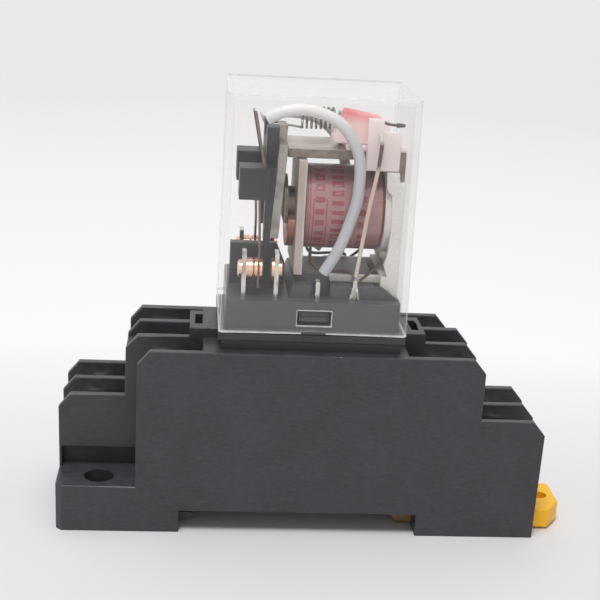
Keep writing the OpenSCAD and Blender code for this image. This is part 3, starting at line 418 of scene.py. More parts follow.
@dataclass
class Paint:
    """A new material with its main nodes at hand."""

    material: Material
    graph: Graph
    output: Node
    shader: Node
    place: Link

    @classmethod
    def start(cls, name: str) -> "Paint":
        """Make an empty material.

        Args:
            name: Name of the material.

        Returns:
            The material with a principled shader on its output.
        """
        material = bpy.data.materials.new(name)
        material.use_nodes = True
        material.node_tree.nodes.clear()
        graph = Graph(material.node_tree)
        output = graph.add("ShaderNodeOutputMaterial")
        shader = graph.add("ShaderNodeBsdfPrincipled")
        graph.chain(shader, output)
        place = graph.add("ShaderNodeTexCoord").outputs["Object"]
        return cls(material, graph, output, shader, place)

    def group(self, tree: Tree, **values: Feed) -> Node:
        """Place a shared effect.

        Args:
            tree: Group to place.
            **values: Its inputs, by name.

        Returns:
            The group node, already fed with the place on the piece.
        """
        node = self.graph.add("ShaderNodeGroup", node_tree=tree)
        self.graph.set(node, Vector=self.place, **values)
        return node

    def facing(self) -> tuple[Link, ...]:
        """The three parts of the surface's normal."""
        return self.graph.split(self.graph.add("ShaderNodeNewGeometry").outputs["Normal"])

    def bump(self, height: Feed, strength: float, depth: float) -> None:
        """Raise the surface by a height.

        Args:
            height: Height from 0 to 1.
            strength: Share of the effect that shows.
            depth: Depth in millimetres.
        """
        node = self.graph.add("ShaderNodeBump")
        self.graph.set(node, Strength=strength, Distance=depth * MM, Height=height)
        self.set(Normal=node.outputs[0])

    def set(self, **values: Feed) -> None:
        """Feed the shader's sockets, named with _ for each space."""
        self.graph.set(self.shader, **values)


@dataclass(frozen=True)
class Well:
    """Painted shade in an upright opening, lighter on a bar in it, in X and Z."""

    middle: Span
    half: Span
    bar: Span
    # Colour of the painted shade
    colour: Colour = shade(44, 42, 45)
    # Share of the painted shade left on the bar
    rubbed: float = 0.6
    blur: float = 0.15

    def mask(self, paint: Paint) -> Link:
        """Find the opening on the piece.

        Args:
            paint: Material that is being made.

        Returns:
            The share of the painted shade colour, 0 outside the opening.
        """
        graph = paint.graph
        x, _, z = graph.split(paint.place)
        shares = []
        for half in (self.half, self.bar):
            inside: Feed = 1.0
            for place, middle, reach in zip((x, z), self.middle, half):
                off = graph.math("ABSOLUTE", graph.in_mm(place, middle))
                near = graph.span(off, (reach - self.blur, reach), (1.0, 0.0))
                inside = graph.math("MULTIPLY", inside, near)
            shares.append(inside)
        return graph.math("MULTIPLY", shares[0], graph.between(shares[1], 1.0, self.rubbed))


@dataclass(frozen=True)
class MouldedPlastic:
    """Moulded plastic with grain, patches and a little dust, milky where it is soft.

    A darkening is full at its first place along X and gone at its second: painted shade on the
    latch's hook, a browner tone at the bobbin's left end.
    """

    name: str
    low: Colour
    high: Colour
    rough: float = 0.45
    grain: float = 0.02
    dust: float = 0.0
    soft: float = 0.0
    pitch: float = 5200.0
    patch: float = 160.0
    drawn: Point = EVEN
    stain: Span | None = None
    # Default colour of the darkening, the latch hook's painted shade
    stain_colour: Colour = shade(74, 68, 62)
    stain_share: float = 0.95
    stain_cover: Span = (0.85, 1.0)
    blot: float = 260.0
    well: Well | None = None
    dust_colour: Colour = shade(176, 174, 172)
    glow: Point = (1.0, 0.92, 0.88)
    glow_depth: float = 2.5

    def material(self, effects: Effects) -> Material:
        """Build the material.

        Args:
            effects: Shared shader groups.

        Returns:
            The new material.
        """
        paint = Paint.start(self.name)
        graph = paint.graph
        grain = paint.group(effects.grain, Stretch=self.drawn, Grain=self.pitch, Patch=self.patch)
        tone = grain.outputs["Tone"]
        dust = paint.group(effects.dust, Amount=self.dust)
        body = graph.mix(tone, self.low, self.high)
        # Darker colour in blots, fading out along X: painted shade on the latch's hook, browner
        # tone on the bobbin
        if self.stain:
            blots = graph.noise(paint.place, self.blot, detail=3.0)
            along = graph.in_mm(graph.split(paint.place)[0])
            darkened = graph.math("MULTIPLY", graph.span(blots, (0.35, 0.62), self.stain_cover),
                               graph.span(along, self.stain, (self.stain_share, 0.0)))
            body = graph.mix(darkened, body, self.stain_colour)
        # Painted shade in the latch windows round the lug
        if self.well:
            body = graph.mix(self.well.mask(paint), body, self.well.colour)
        paint.set(Base_Color=graph.mix(dust.outputs["Mask"], body, self.dust_colour),
                  Roughness=graph.between(tone, self.rough - 0.06, self.rough + 0.08),
                  Subsurface_Weight=self.soft, Subsurface_Radius=self.glow,
                  Subsurface_Scale=self.glow_depth * MM)
        paint.bump(grain.outputs["Height"], strength=0.5, depth=self.grain)
        return paint.material


@dataclass(frozen=True)
class RolledMetal:
    """Plated or bare sheet metal with rolling marks and dull patches.

    The edges that were sheared across the part have lost their plating.
    """

    name: str
    bright: Colour
    dull: Colour
    rough: float = 0.3
    axis: Axis = Axis.Z
    dulled: float = 0.6
    metallic: float = 1.0
    sheared: float = 0.0
    raw: Colour = shade(112, 96, 84)
    pitch: float = 9000.0
    patch: float = 420.0
    wear: float = 900.0

    def material(self, effects: Effects) -> Material:
        """Build the material.

        Args:
            effects: Shared shader groups.

        Returns:
            The new material.
        """
        paint = Paint.start(self.name)
        graph = paint.graph
        marks = paint.group(effects.streaks, Stretch=self.axis.value, Scale=self.pitch,
                            Patch=self.patch)
        patch = graph.math("MULTIPLY", marks.outputs["Dull"], self.dulled)
        fade = graph.math("MULTIPLY_ADD", marks.outputs["Tone"], 0.25, patch)
        across = graph.math("ABSOLUTE", paint.facing()[1])
        cut = graph.span(across, (0.6, 0.9), (0.0, self.sheared))
        wear = graph.noise(paint.place, self.wear, detail=3.0)
        rubbed = graph.span(wear, (0.3, 0.7), (0.7, 1.0))
        plated = graph.mix(fade, self.bright, self.dull)
        paint.set(Base_Color=graph.mix(graph.math("MULTIPLY", cut, rubbed), plated, self.raw),
                  Roughness=graph.between(fade, self.rough - 0.06, self.rough + 0.2),
                  Metallic=self.metallic)
        paint.bump(marks.outputs["Height"], strength=0.35, depth=0.01)
        return paint.material


@dataclass(frozen=True)
class ClearShell:
    """Thin clear cover: faint haze, painted highlights along its edges, whiter where seen edge on.

    A span of an edge gives the distances at which its painted highlight line is gone and full, and
    a share says how white the line is.
    """

    name: str
    tint: Colour
    pale: Colour = shade(250, 251, 252)
    middle: Point = (0.65, 0.0, 31.0)
    half: Span = (13.5, 10.75)
    height: float = 33.75
    draft: float = 0.25
    wall: float = 0.9
    # Painted highlight lines along the edges, along the foot and round the latch windows
    line: Span = (0.34, 0.16)
    line_share: float = 0.84
    foot: Span = (0.45, 0.1)
    foot_share: float = 1.05
    window: Span = (2.45, 1.125)
    window_z: float = 2.425
    rim: Span = (0.16, 0.02)
    rim_share: float = 0.83
    rim_depth: float = 0.35
    haze: float = 0.03
    # Strength of the painted highlight lines along the edges
    edge: float = 0.9
    grazing: float = 0.3
    pitch: float = 900.0
    patch: float = 110.0

    def material(self, effects: Effects) -> Material:
        """Build the material.

        Args:
            effects: Shared shader groups.

        Returns:
            The new material.
        """
        paint = Paint.start(self.name)
        graph = paint.graph
        grain = paint.group(effects.grain, Stretch=EVEN, Grain=self.pitch, Patch=self.patch)
        tone = grain.outputs["Tone"]
        facing = graph.add("ShaderNodeLayerWeight")
        graph.set(facing, Blend=0.5)
        cover = graph.between(tone, 0.6 * self.haze, 1.4 * self.haze)
        # White lines along the edges are painted highlights
        line = graph.math("MULTIPLY", self._edges(paint),
                          graph.between(tone, 0.6 * self.edge, self.edge))
        seen = graph.span(facing.outputs["Facing"], (0.5, 0.97), (0.0, self.grazing))
        paint.set(Base_Color=graph.mix(tone, self.tint, self.pale),
                  Alpha=graph.math("ADD", cover, graph.math("MAXIMUM", line, seen)),
                  Roughness=graph.between(tone, 0.04, 0.12))
        return paint.material

    def _edges(self, paint: Paint) -> Link:
        """Find the painted highlight lines along the edges of the shell and of its latch windows.

        Args:
            paint: Material that is being made.

        Returns:
            1 on an upper edge and more on the lower ones, fading to 0 within a wall's thickness.
        """
        graph = paint.graph
        away = tuple(-part for part in self.middle)
        x, y, z = graph.split(graph.vector("MULTIPLY_ADD", paint.place, (1 / MM,) * 3, away))
        x, y = graph.math("ABSOLUTE", x), graph.math("ABSOLUTE", y)
        lean = graph.math("MULTIPLY", z, self.draft / self.height)
        side = graph.math("ADD", lean, graph.math("SUBTRACT", x, self.half[0]))
        front = graph.math("ADD", lean, graph.math("SUBTRACT", y, self.half[1]))
        wall = graph.math("MAXIMUM", side, front)
        below = graph.math("MULTIPLY", z, -1.0)
        ends = graph.math("MAXIMUM", graph.math("SUBTRACT", z, self.height), below)
        near = graph.math("MAXIMUM", graph.math("MINIMUM", side, front),
                          graph.math("MINIMUM", wall, ends))
        line = self._line(graph, near, self.line, self.line_share)
        outer = graph.math("MULTIPLY_ADD", graph.share(near, -self.wall, 0.0),
                           1.0 - self.line_share, line)
        foot = self._line(graph, graph.math("MINIMUM", wall, below), self.foot, self.foot_share)
        rise = graph.math("ABSOLUTE", graph.math("SUBTRACT", z, self.window_z))
        off = graph.math("MAXIMUM", graph.math("SUBTRACT", x, self.window[0]),
                         graph.math("SUBTRACT", rise, self.window[1]))
        rim = graph.math("MULTIPLY", graph.span(off, self.rim[::-1], (self.rim_share, 0.0)),
                         graph.math("GREATER_THAN", front, -self.rim_depth))
        return graph.math("MAXIMUM", graph.math("MAXIMUM", outer, foot), rim)

    @staticmethod
    def _line(graph: Graph, inward: Feed, span: Span, share: float) -> Link:
        """Painted highlight along an edge, for a distance that falls below 0 inside the edge."""
        return graph.span(inward, (-span[0], -span[1]), (0.0, share))


@dataclass(frozen=True)
class PrintedTape:
    """Coil tape with plain printed lines, bars and boxes round it.

    Lines are given by their two ends along the coil, columns of bars by their two ends and the
    bars' pitch, and frames by their ends along the coil and round it.
    """

    name: str
    ground: Colour
    pale: Colour
    ink: Colour
    lines: tuple[Span, ...] = ((-1.42, -1.28), (-1.1, -0.96))
    columns: tuple[Point, ...] = ((-0.3, 1.0, 1.7), (2.05, 3.75, 1.35), (5.95, 7.05, 1.9))
    frames: tuple[tuple[float, float, float, float], ...] = ((-0.62, 1.42, -9.2, 2.2),)
    line_w: float = 0.16
    # Number of the bar at the coil's front, high enough to keep all numbers above 0
    front_bar: float = 40.0
    # Shares of the pitch that a bar and an open box in it take up
    bar: Span = (0.42, 0.8)
    hollow: Span = (0.16, 0.36)
    hollow_inset: float = 0.26
    hollow_from: float = 0.45
    wear: float = 2600.0
    pitch: float = 3000.0
    patch: float = 260.0

    def material(self, effects: Effects) -> Material:
        """Build the material.

        Args:
            effects: Shared shader groups.

        Returns:
            The new material.
        """
        paint = Paint.start(self.name)
        graph = paint.graph
        x, y, z = graph.split(paint.place)
        along = graph.in_mm(x, RELAY_ORIGIN.x)
        height = graph.math("SUBTRACT", z, COIL_AXIS_Z * MM)
        turn = graph.math("ARCTAN2", height, graph.math("MULTIPLY", y, -1.0))
        arc = graph.math("MULTIPLY", turn, COIL_RADIUS)
        marks = [graph.band(along, low, high) for low, high in self.lines]
        marks += [self._column(graph, along, arc, column) for column in self.columns]
        marks += [self._frame(graph, along, arc, box) for box in self.frames]
        inked: Feed = 0.0
        for mark in marks:
            inked = graph.math("MAXIMUM", inked, mark)
        wear = graph.noise(paint.place, self.wear, detail=3.0)
        kept = graph.span(wear, (0.3, 0.5), (0.55, 1.0))
        grain = paint.group(effects.grain, Stretch=EVEN, Grain=self.pitch, Patch=self.patch)
        tone = grain.outputs["Tone"]
        ground = graph.mix(tone, self.ground, self.pale)
        paint.set(Base_Color=graph.mix(graph.math("MULTIPLY", inked, kept), ground, self.ink),
                  Roughness=graph.between(tone, 0.3, 0.42), Coat_Weight=0.6, Coat_Roughness=0.16)
        paint.bump(grain.outputs["Height"], strength=0.4, depth=0.02)
        return paint.material

    def _frame(self, graph: Graph, along: Feed, arc: Feed, box: Sequence[float]) -> Link:
        """Draw the outline of one box round the tape.

        Args:
            graph: Graph of the material.
            along: Place along the coil in millimetres.
            arc: Place round the coil in millimetres.
            box: Its ends along the coil and round it.

        Returns:
            1 on the outline and 0 off it.
        """
        whole, inside = (
            graph.math("MULTIPLY", graph.band(along, box[0] + inset, box[1] - inset),
                       graph.band(arc, box[2] + inset, box[3] - inset))
            for inset in (0.0, self.line_w))
        return graph.math("SUBTRACT", whole, inside)

    def _column(self, graph: Graph, along: Feed, arc: Feed, column: Point) -> Link:
        """Lay bars and open boxes in one column round the tape.

        Args:
            graph: Graph of the material.
            along: Place along the coil in millimetres.
            arc: Place round the coil in millimetres.
            column: Its ends along the coil and the bars' pitch.

        Returns:
            1 on the print and 0 off it.
        """
        low, high, step = column
        cell = graph.math("MULTIPLY_ADD", arc, 1 / step, self.front_bar)
        share = graph.math("FRACT", cell)
        pick = graph.add("ShaderNodeTexWhiteNoise", noise_dimensions="1D")
        graph.set(pick, W=graph.math("FLOOR", cell))
        length = graph.between(pick.outputs[0], *self.bar)
        bar = graph.math("MULTIPLY", graph.math("LESS_THAN", share, length),
                         graph.band(along, low, high))
        inset = (high - low) * self.hollow_inset
        hollow = graph.math("MULTIPLY", graph.band(share, *self.hollow),
                            graph.band(along, low + inset, high - inset))
        opened = graph.math("MULTIPLY", hollow,
                            graph.math("GREATER_THAN", pick.outputs[0], self.hollow_from))
        return graph.math("SUBTRACT", bar, graph.math("MULTIPLY", bar, opened))


@dataclass(frozen=True)
class WoundWire:
    """Side by side turns of enamelled wire round the coil's axis, with painted shade between
    turns.
    """

    name: str
    bright: Colour
    deep: Colour
    turn: float = 0.16
    pitch: float = 2400.0
    patch: float = 300.0

    def material(self, effects: Effects) -> Material:
        """Build the material.

        Args:
            effects: Shared shader groups.

        Returns:
            The new material.
        """
        paint = Paint.start(self.name)
        graph = paint.graph
        x = graph.split(paint.place)[0]
        wave = graph.math("SINE", graph.math("MULTIPLY", x, 2 * math.pi / (self.turn * MM)))
        crest = graph.share(wave, -1.0, 1.0)
        grain = paint.group(effects.grain, Stretch=EVEN, Grain=self.pitch, Patch=self.patch)
        # Colour follows the turns' crests, so the grooves between them get painted shade
        tone = graph.math("MULTIPLY_ADD", grain.outputs["Tone"], 0.4,
                          graph.math("MULTIPLY", crest, 0.6))
        paint.set(Base_Color=graph.mix(tone, self.deep, self.bright), Metallic=0.6,
                  Roughness=graph.between(grain.outputs["Tone"], 0.28, 0.42))
        paint.bump(crest, strength=0.7, depth=0.05)
        return paint.material


@dataclass(frozen=True)
class ContactRivet:
    """Copper rivet with a silver face at each end."""

    name: str
    copper: Colour
    silver: Colour
    pitch: float = 6000.0
    patch: float = 700.0

    def material(self, effects: Effects) -> Material:
        """Build the material.

        Args:
            effects: Shared shader groups.

        Returns:
            The new material.
        """
        paint = Paint.start(self.name)
        graph = paint.graph
        face = graph.share(graph.math("ABSOLUTE", paint.facing()[0]), 0.55, 0.95)
        marks = paint.group(effects.streaks, Stretch=Axis.X.value, Scale=self.pitch,
                            Patch=self.patch)
        tarnish = graph.math("MULTIPLY_ADD", marks.outputs["Dull"], -0.35, 1.0)
        silvered = graph.math("MULTIPLY", face, tarnish)
        paint.set(Base_Color=graph.mix(silvered, self.copper, self.silver), Metallic=1.0,
                  Roughness=graph.between(marks.outputs["Tone"], 0.2, 0.38))
        paint.bump(marks.outputs["Height"], strength=0.3, depth=0.01)
        return paint.material


@dataclass(frozen=True)
class LayeredTone:
    """Finish whose colour runs through stops from low to high on the piece."""

    name: str
    stops: tuple[tuple[float, Colour], ...]
    rough: float = 0.35
    metallic: float = 0.0
    wander: float = 0.6
    soft: float = 0.0
    glow: Point = (1.0, 0.9, 0.88)
    glow_depth: float = 2.0
    pitch: float = 3200.0
    patch: float = 500.0

    def material(self, effects: Effects) -> Material:
        """Build the material.

        Args:
            effects: Shared shader groups.

        Returns:
            The new material.
        """
        paint = Paint.start(self.name)
        graph = paint.graph
        grain = paint.group(effects.grain, Stretch=EVEN, Grain=self.pitch, Patch=self.patch)
        tone = grain.outputs["Tone"]
        z = graph.in_mm(graph.split(paint.place)[2], RELAY_ORIGIN.z)
        level = graph.math("MULTIPLY_ADD", tone, self.wander, z)
        low, high = self.stops[0][0], self.stops[-1][0]
        ramp = graph.add("ShaderNodeValToRGB")
        graph.feed(ramp.inputs[0], graph.share(level, low, high))
        steps = ramp.color_ramp.elements
        steps[0].color, steps[-1].color = self.stops[0][1], self.stops[-1][1]
        for height, colour in self.stops[1:-1]:
            steps.new((height - low) / (high - low)).color = colour
        paint.set(Base_Color=ramp.outputs[0], Metallic=self.metallic,
                  Roughness=graph.between(tone, self.rough - 0.05, self.rough + 0.08),
                  Subsurface_Weight=self.soft, Subsurface_Radius=self.glow,
                  Subsurface_Scale=self.glow_depth * MM)
        paint.bump(grain.outputs["Height"], strength=0.3, depth=0.015)
        return paint.material


class NodeMaker:
    """Geometry Nodes trees for what repeats or follows a path, each built once."""

    def __init__(self) -> None:
        """Build the trees."""
        self.wire = self._wire_tree()
        self.repeat = self._repeat_tree()

    @staticmethod
    def _start(name: str, **inputs: str) -> tuple[Graph, Node, Node]:
        """Start a tree that takes geometry, further inputs and a material, and gives geometry."""
        takes = {"Geometry": "Geometry", **inputs, "Material": "Material"}
        return Graph.group("Geometry", name, takes, {"Geometry": "Geometry"})

    @staticmethod
    def _end(graph: Graph, given: Node, shape: Node, made: Node) -> Tree:
        """Close a tree with real geometry and its material.

        Args:
            graph: Graph of the tree.
            given: Its input node.
            shape: Node that gives the geometry to close with.
            made: Its output node.

        Returns:
            The finished tree.
        """
        painted = graph.add("GeometryNodeSetMaterial")
        graph.set(painted, Material=given.outputs["Material"])
        graph.chain(shape, graph.add("GeometryNodeRealizeInstances"), painted, made)
        return graph.tree

    def _wire_tree(self) -> Tree:
        """Lay round wire along a line of edges, smoothed through its points.

        Returns:
            The tree.
        """
        graph, given, made = self._start("round_wire", Radius="Float", Steps="Int", Sides="Int")
        line = graph.add("GeometryNodeMeshToCurve")
        kind = graph.add("GeometryNodeCurveSplineType", spline_type="CATMULL_ROM")
        fine = graph.add("GeometryNodeSetSplineResolution")
        ring = graph.add("GeometryNodeCurvePrimitiveCircle", mode="RADIUS")
        tube = graph.add("GeometryNodeCurveToMesh")
        soft = graph.add("GeometryNodeSetShadeSmooth")
        graph.set(fine, Resolution=given.outputs["Steps"])
        graph.set(ring, Resolution=given.outputs["Sides"], Radius=given.outputs["Radius"])
        graph.set(tube, Profile_Curve=ring.outputs[0], Fill_Caps=True)
        graph.chain(given, line, kind, fine, tube, soft)
        return self._end(graph, given, soft, made)

    def _repeat_tree(self) -> Tree:
        """Set copies of one pattern piece on the points given.

        Returns:
            The tree.
        """
        graph, given, made = self._start("repeated_piece", Pattern="Object")
        pattern = graph.add("GeometryNodeObjectInfo", transform_space="ORIGINAL")
        copies = graph.add("GeometryNodeInstanceOnPoints")
        graph.set(pattern, Object=given.outputs["Pattern"])
        graph.set(copies, Instance=pattern.outputs["Geometry"])
        graph.chain(given, copies)
        return self._end(graph, given, copies, made)

    @staticmethod
    def run(name: str, mesh: bpy.types.Mesh, tree: Tree, values: dict[str, object]) -> Object:
        """Run a tree on a mesh and keep the result as a plain mesh.

        Args:
            name: Name of the finished piece.
            mesh: Mesh that the tree starts from.
            tree: Tree to run.
            values: Its inputs by name.

        Returns:
            The finished piece at the origin, with no modifier.
        """
        piece = put(name, mesh)
        modifier = piece.modifiers.new("shape", "NODES")
        modifier.node_group = tree
        for item in tree.interface.items_tree:
            if item.in_out == "INPUT" and item.name in values:
                modifier[item.identifier] = values[item.name]
        piece.update_tag()
        bake(piece)
        piece.data.name = name
        return piece


class Workshop:
    """Makes pieces and gives them their finish and body."""

    def __init__(self) -> None:
        """Build the shared effects and trees."""
        self.effects = Effects()
        self.maker = NodeMaker()
        self.made: dict[str, Material] = {}

    def finish(self, finish: Finish) -> Material:
        """Make the material of a finish at its first use.

        Args:
            finish: Finish to make.

        Returns:
            The material, the same one each time.
        """
        if finish.name not in self.made:
            self.made[finish.name] = finish.material(self.effects)
        return self.made[finish.name]

    def dress(self, node: str, finish: Finish) -> None:
        """Give a node of the frame its material.

        Args:
            node: Name of the node.
            finish: Finish to give it.
        """
        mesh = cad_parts[node].data
        mesh.materials.clear()
        mesh.materials.append(self.finish(finish))
        log.info("dressed %s with %s", node, finish.name)

    @staticmethod
    def seat(piece: Object, body: Body, slot: str, node: str) -> None:
        """Let a finished piece ride on its body and stand for its node.

        Args:
            piece: Finished piece.
            body: Body that it moves with.
            slot: Name of a material slot; not used.
            node: Node that it stands for.
        """
        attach(piece, body.value)
        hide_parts(node)
        log.info("made %s on %s, %d faces", piece.name, body.value, len(piece.data.polygons))

    def eased(self, node: str, finish: Finish, body: Body, slot: str, rounding: float = 0.0,
              shortest: float = 1.0, smooth: float = 40.0) -> None:
        """Copy a node with its long outer edges eased and its round faces smooth.

        Args:
            node: Node that the copy stands for.
            finish: Finish of the copy.
            body: Body that it moves with.
            slot: Name of a material slot, passed on to seat.
            rounding: Width of the eased edge in millimetres, 0 for none.
            shortest: Length below which an edge stays sharp, in millimetres.
            smooth: Angle up to which neighbouring faces shade as one, in degrees.
        """
        shape = bmesh.new()
        shape.from_mesh(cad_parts[node].data)
        bmesh.ops.remove_doubles(shape, verts=shape.verts, dist=SAME_POINT)
        bmesh.ops.dissolve_limit(shape, angle_limit=math.radians(SAME_FACE), verts=shape.verts,
                                 edges=shape.edges)
        if rounding > 0:
            edges = [e for e in shape.edges if e.is_manifold and e.is_convex
                     and e.calc_face_angle(0.0) > math.radians(smooth)
                     and e.calc_length() > shortest * MM]
            bmesh.ops.bevel(shape, geom=edges, offset=rounding * MM, offset_type="OFFSET",
                            segments=2, profile=0.5, affect="EDGES", clamp_overlap=False)
        # Broad faces stay flat up to their eased edges, and round surfaces shade as one
        for face in shape.faces:
            face.smooth = True
        for edge in shape.edges:
            broad = any(face.calc_area() > BROAD_AREA for face in edge.link_faces)
            limit = math.radians(BROAD_TURN if broad else smooth)
            edge.smooth = edge.calc_face_angle(math.pi) < limit
        piece = put_shape(node + "_eased", shape)
        piece.data.materials.append(self.finish(finish))
        piece.modifiers.new("even_shading", "WEIGHTED_NORMAL").keep_sharp = True
        self.seat(piece, body, slot, node)

    def wire(self, name: str, routes: Sequence[Sequence[Vector]], diameter: float, finish: Finish,
             steps: int = 6, sides: int = 14) -> Object:
        """Make round wires along routes.

        Args:
            name: Name of the piece.
            routes: Points of each wire in metres.
            diameter: Diameter in millimetres.
            finish: Finish of the wire.
            steps: Steps between two points.
            sides: Sides round the wire.

        Returns:
            The piece at the origin.
        """
        mesh = bpy.data.meshes.new(name + "_line")
        points: list[Vector] = []
        edges = []
        for route in routes:
            start = len(points)
            edges += [(start + i, start + i + 1) for i in range(len(route) - 1)]
            points += route
        mesh.from_pydata(points, edges, [])
        return self.maker.run(name, mesh, self.maker.wire, {
            "Radius": diameter / 2 * MM, "Steps": steps, "Sides": sides,
            "Material": self.finish(finish)})


@dataclass
class Socket:
    """Housing with its screws, washers, strips and rail latch."""

    head_d: float = 5.2
    head_h: float = 2.0
    shank_d: float = 3.0
    shank_len: float = 5.0
    tip_chamfer: Span = (0.3, 0.4)
    under_chamfer: float = 0.15
    # Steps in from the head's side and down from its top that round its crown
    crown: tuple[Span, ...] = ((0.0, 0.55), (0.16, 0.2), (0.55, 0.02))
    slot_w: float = 0.9
    slot_depth: float = 1.1
    # Length of each slot as a share of the head, and its turn in degrees
    slots: tuple[Span, ...] = ((1.3, 0.0), (0.6, 90.0))
    facets: int = 32
    crease: float = 35.0
    inner_x: float = 20.7
    outer_x: float = 30.8
    bay_pitch: float = 7.1
    inner_seat: float = 23.9
    outer_seat: float = 14.5
    plastic: MouldedPlastic = MouldedPlastic(
        "socket_plastic", shade(46, 46, 51), shade(63, 62, 68), 0.4, 0.03, 0.05,
        pitch=2300.0, drawn=(0.42, 0.42, 1.0))
    # Its hook inside the rail gap is darkened brown as painted shade
    latch: MouldedPlastic = MouldedPlastic(
        "latch_yellow", shade(254, 178, 14), shade(255, 206, 36), 0.42, 0.015, stain=(19.0, 26.0))
    steel: RolledMetal = RolledMetal(
        "screw_zinc", shade(208, 208, 204), shade(150, 150, 146), 0.28, Axis.X)
    brass: RolledMetal = RolledMetal(
        "strip_brass", shade(206, 168, 92), shade(150, 116, 60), 0.3, Axis.X)

    def build(self, shop: Workshop) -> None:
        """Build and dress the socket's pieces.

        Args:
            shop: Workshop that makes them.
        """
        shop.eased("socket_body", self.plastic, Body.SOCKET, "socket_plastic", 0.16, 1.5)
        shop.eased("release_slider", self.latch, Body.SLIDER, "slider_plastic", 0.2)
        shop.dress("bottom_plate", self.plastic)
        shop.dress("clamp_washers", self.steel)
        for duty in DUTIES:
            for pole in Pole:
                shop.dress(f"contact_strip_{duty}_{pole.label}", self.brass)
        self._screws(shop)

    def _screws(self, shop: Workshop) -> None:
        """Repeat one slotted screw over the eight terminals.

        Args:
            shop: Workshop that makes them.
        """
        places = []
        for side in (-1, 1):
            places += [(side * self.inner_x, -self.bay_pitch, self.inner_seat),
                       (side * self.inner_x, self.bay_pitch, self.inner_seat),
                       (side * self.outer_x, 0.0, self.outer_seat),
                       (side * self.outer_x, -side * self.bay_pitch, self.outer_seat)]
        points = bpy.data.meshes.new("screw_points")
        points.from_pydata([Vector(place) * MM for place in places], [], [])
        pattern = self._screw_pattern()
        screws = shop.maker.run("terminal_screw_set", points, shop.maker.repeat, {
            "Pattern": pattern, "Material": shop.finish(self.steel)})
        bpy.data.objects.remove(pattern)
        shop.seat(screws, Body.SOCKET, "screw_steel", "terminal_screws")

    def _screw_pattern(self) -> Object:
        """Turn one screw and cut its slots.

        Returns:
            The screw with the underside of its head at the origin.
        """
        r, h, s, tip = self.head_d / 2, self.head_h, self.shank_d / 2, -self.shank_len
        outline = [(0.0, tip), (s - self.tip_chamfer[0], tip), (s, tip + self.tip_chamfer[1]),
                   (s, 0.0), (r - self.under_chamfer, 0.0), (r, self.under_chamfer),
                   *((r - inward, h - down) for inward, down in self.crown), (0.0, h)]
        shape = bmesh.new()
        verts = [shape.verts.new((x * MM, 0.0, z * MM)) for x, z in outline]
        rim = [shape.edges.new(pair) for pair in zip(verts, verts[1:])]
        bmesh.ops.spin(shape, geom=verts + rim, cent=(0, 0, 0), axis=(0, 0, 1),
                       angle=2 * math.pi, steps=self.facets)
        bmesh.ops.remove_doubles(shape, verts=shape.verts, dist=SAME_POINT)
        bmesh.ops.recalc_face_normals(shape, faces=shape.faces)
        screw = put_shape("screw_pattern", shape)
        for share, turn in self.slots:
            size = (share * self.head_d * MM, self.slot_w * MM, 2 * self.slot_depth * MM, 1)
            cutter = bmesh.new()
            bmesh.ops.create_cube(cutter, size=1.0, matrix=Matrix.Translation((0, 0, h * MM))
                                  @ Matrix.Rotation(math.radians(turn), 4, "Z")
                                  @ Matrix.Diagonal(size))
            tool = put_shape("slot_cutter", cutter)
            cut = screw.modifiers.new("slot", "BOOLEAN")
            cut.operation = "DIFFERENCE"
            cut.object = tool
            bake(screw)
            bpy.data.objects.remove(tool)
        screw.data.shade_smooth()
        screw.data.set_sharp_from_angle(angle=math.radians(self.crease))
        return screw


@dataclass
class RelayShell:
    """Base, clear cover, pins and fixed contacts."""

    # The latch windows on the base get painted shade round the lug
    plastic: MouldedPlastic = MouldedPlastic(
        "base_plastic", shade(78, 75, 78), shade(92, 88, 90), 0.4, 0.02,
        well=Well((0.65, 33.42), (2.5, 1.2), (1.75, 0.5)))
    cover: ClearShell = ClearShell("clear_cover", shade(238, 240, 243))
    tin: RolledMetal = RolledMetal(
        "tinned_pin", shade(222, 220, 212), shade(150, 145, 136), 0.24, Axis.Z)
    rivet: ContactRivet = ContactRivet(
        "contact_rivet", shade(232, 184, 158), shade(238, 234, 228))

    def build(self, shop: Workshop) -> None:
        """Build and dress the shell's pieces.

        Args:
            shop: Workshop that makes them.
        """
        shop.eased("relay_base", self.plastic, Body.RELAY, "base_plastic", 0.12, 3.0)
        shop.eased("relay_cover", self.cover, Body.RELAY, "clear_cover", 0.3, 6.0, 30.0)
        for duty in DUTIES:
            for pole in Pole:
                shop.dress(f"terminal_{duty}_{pole.label}", self.tin)
        shop.eased("fixed_contacts", self.rivet, Body.RELAY, "contact_metal")


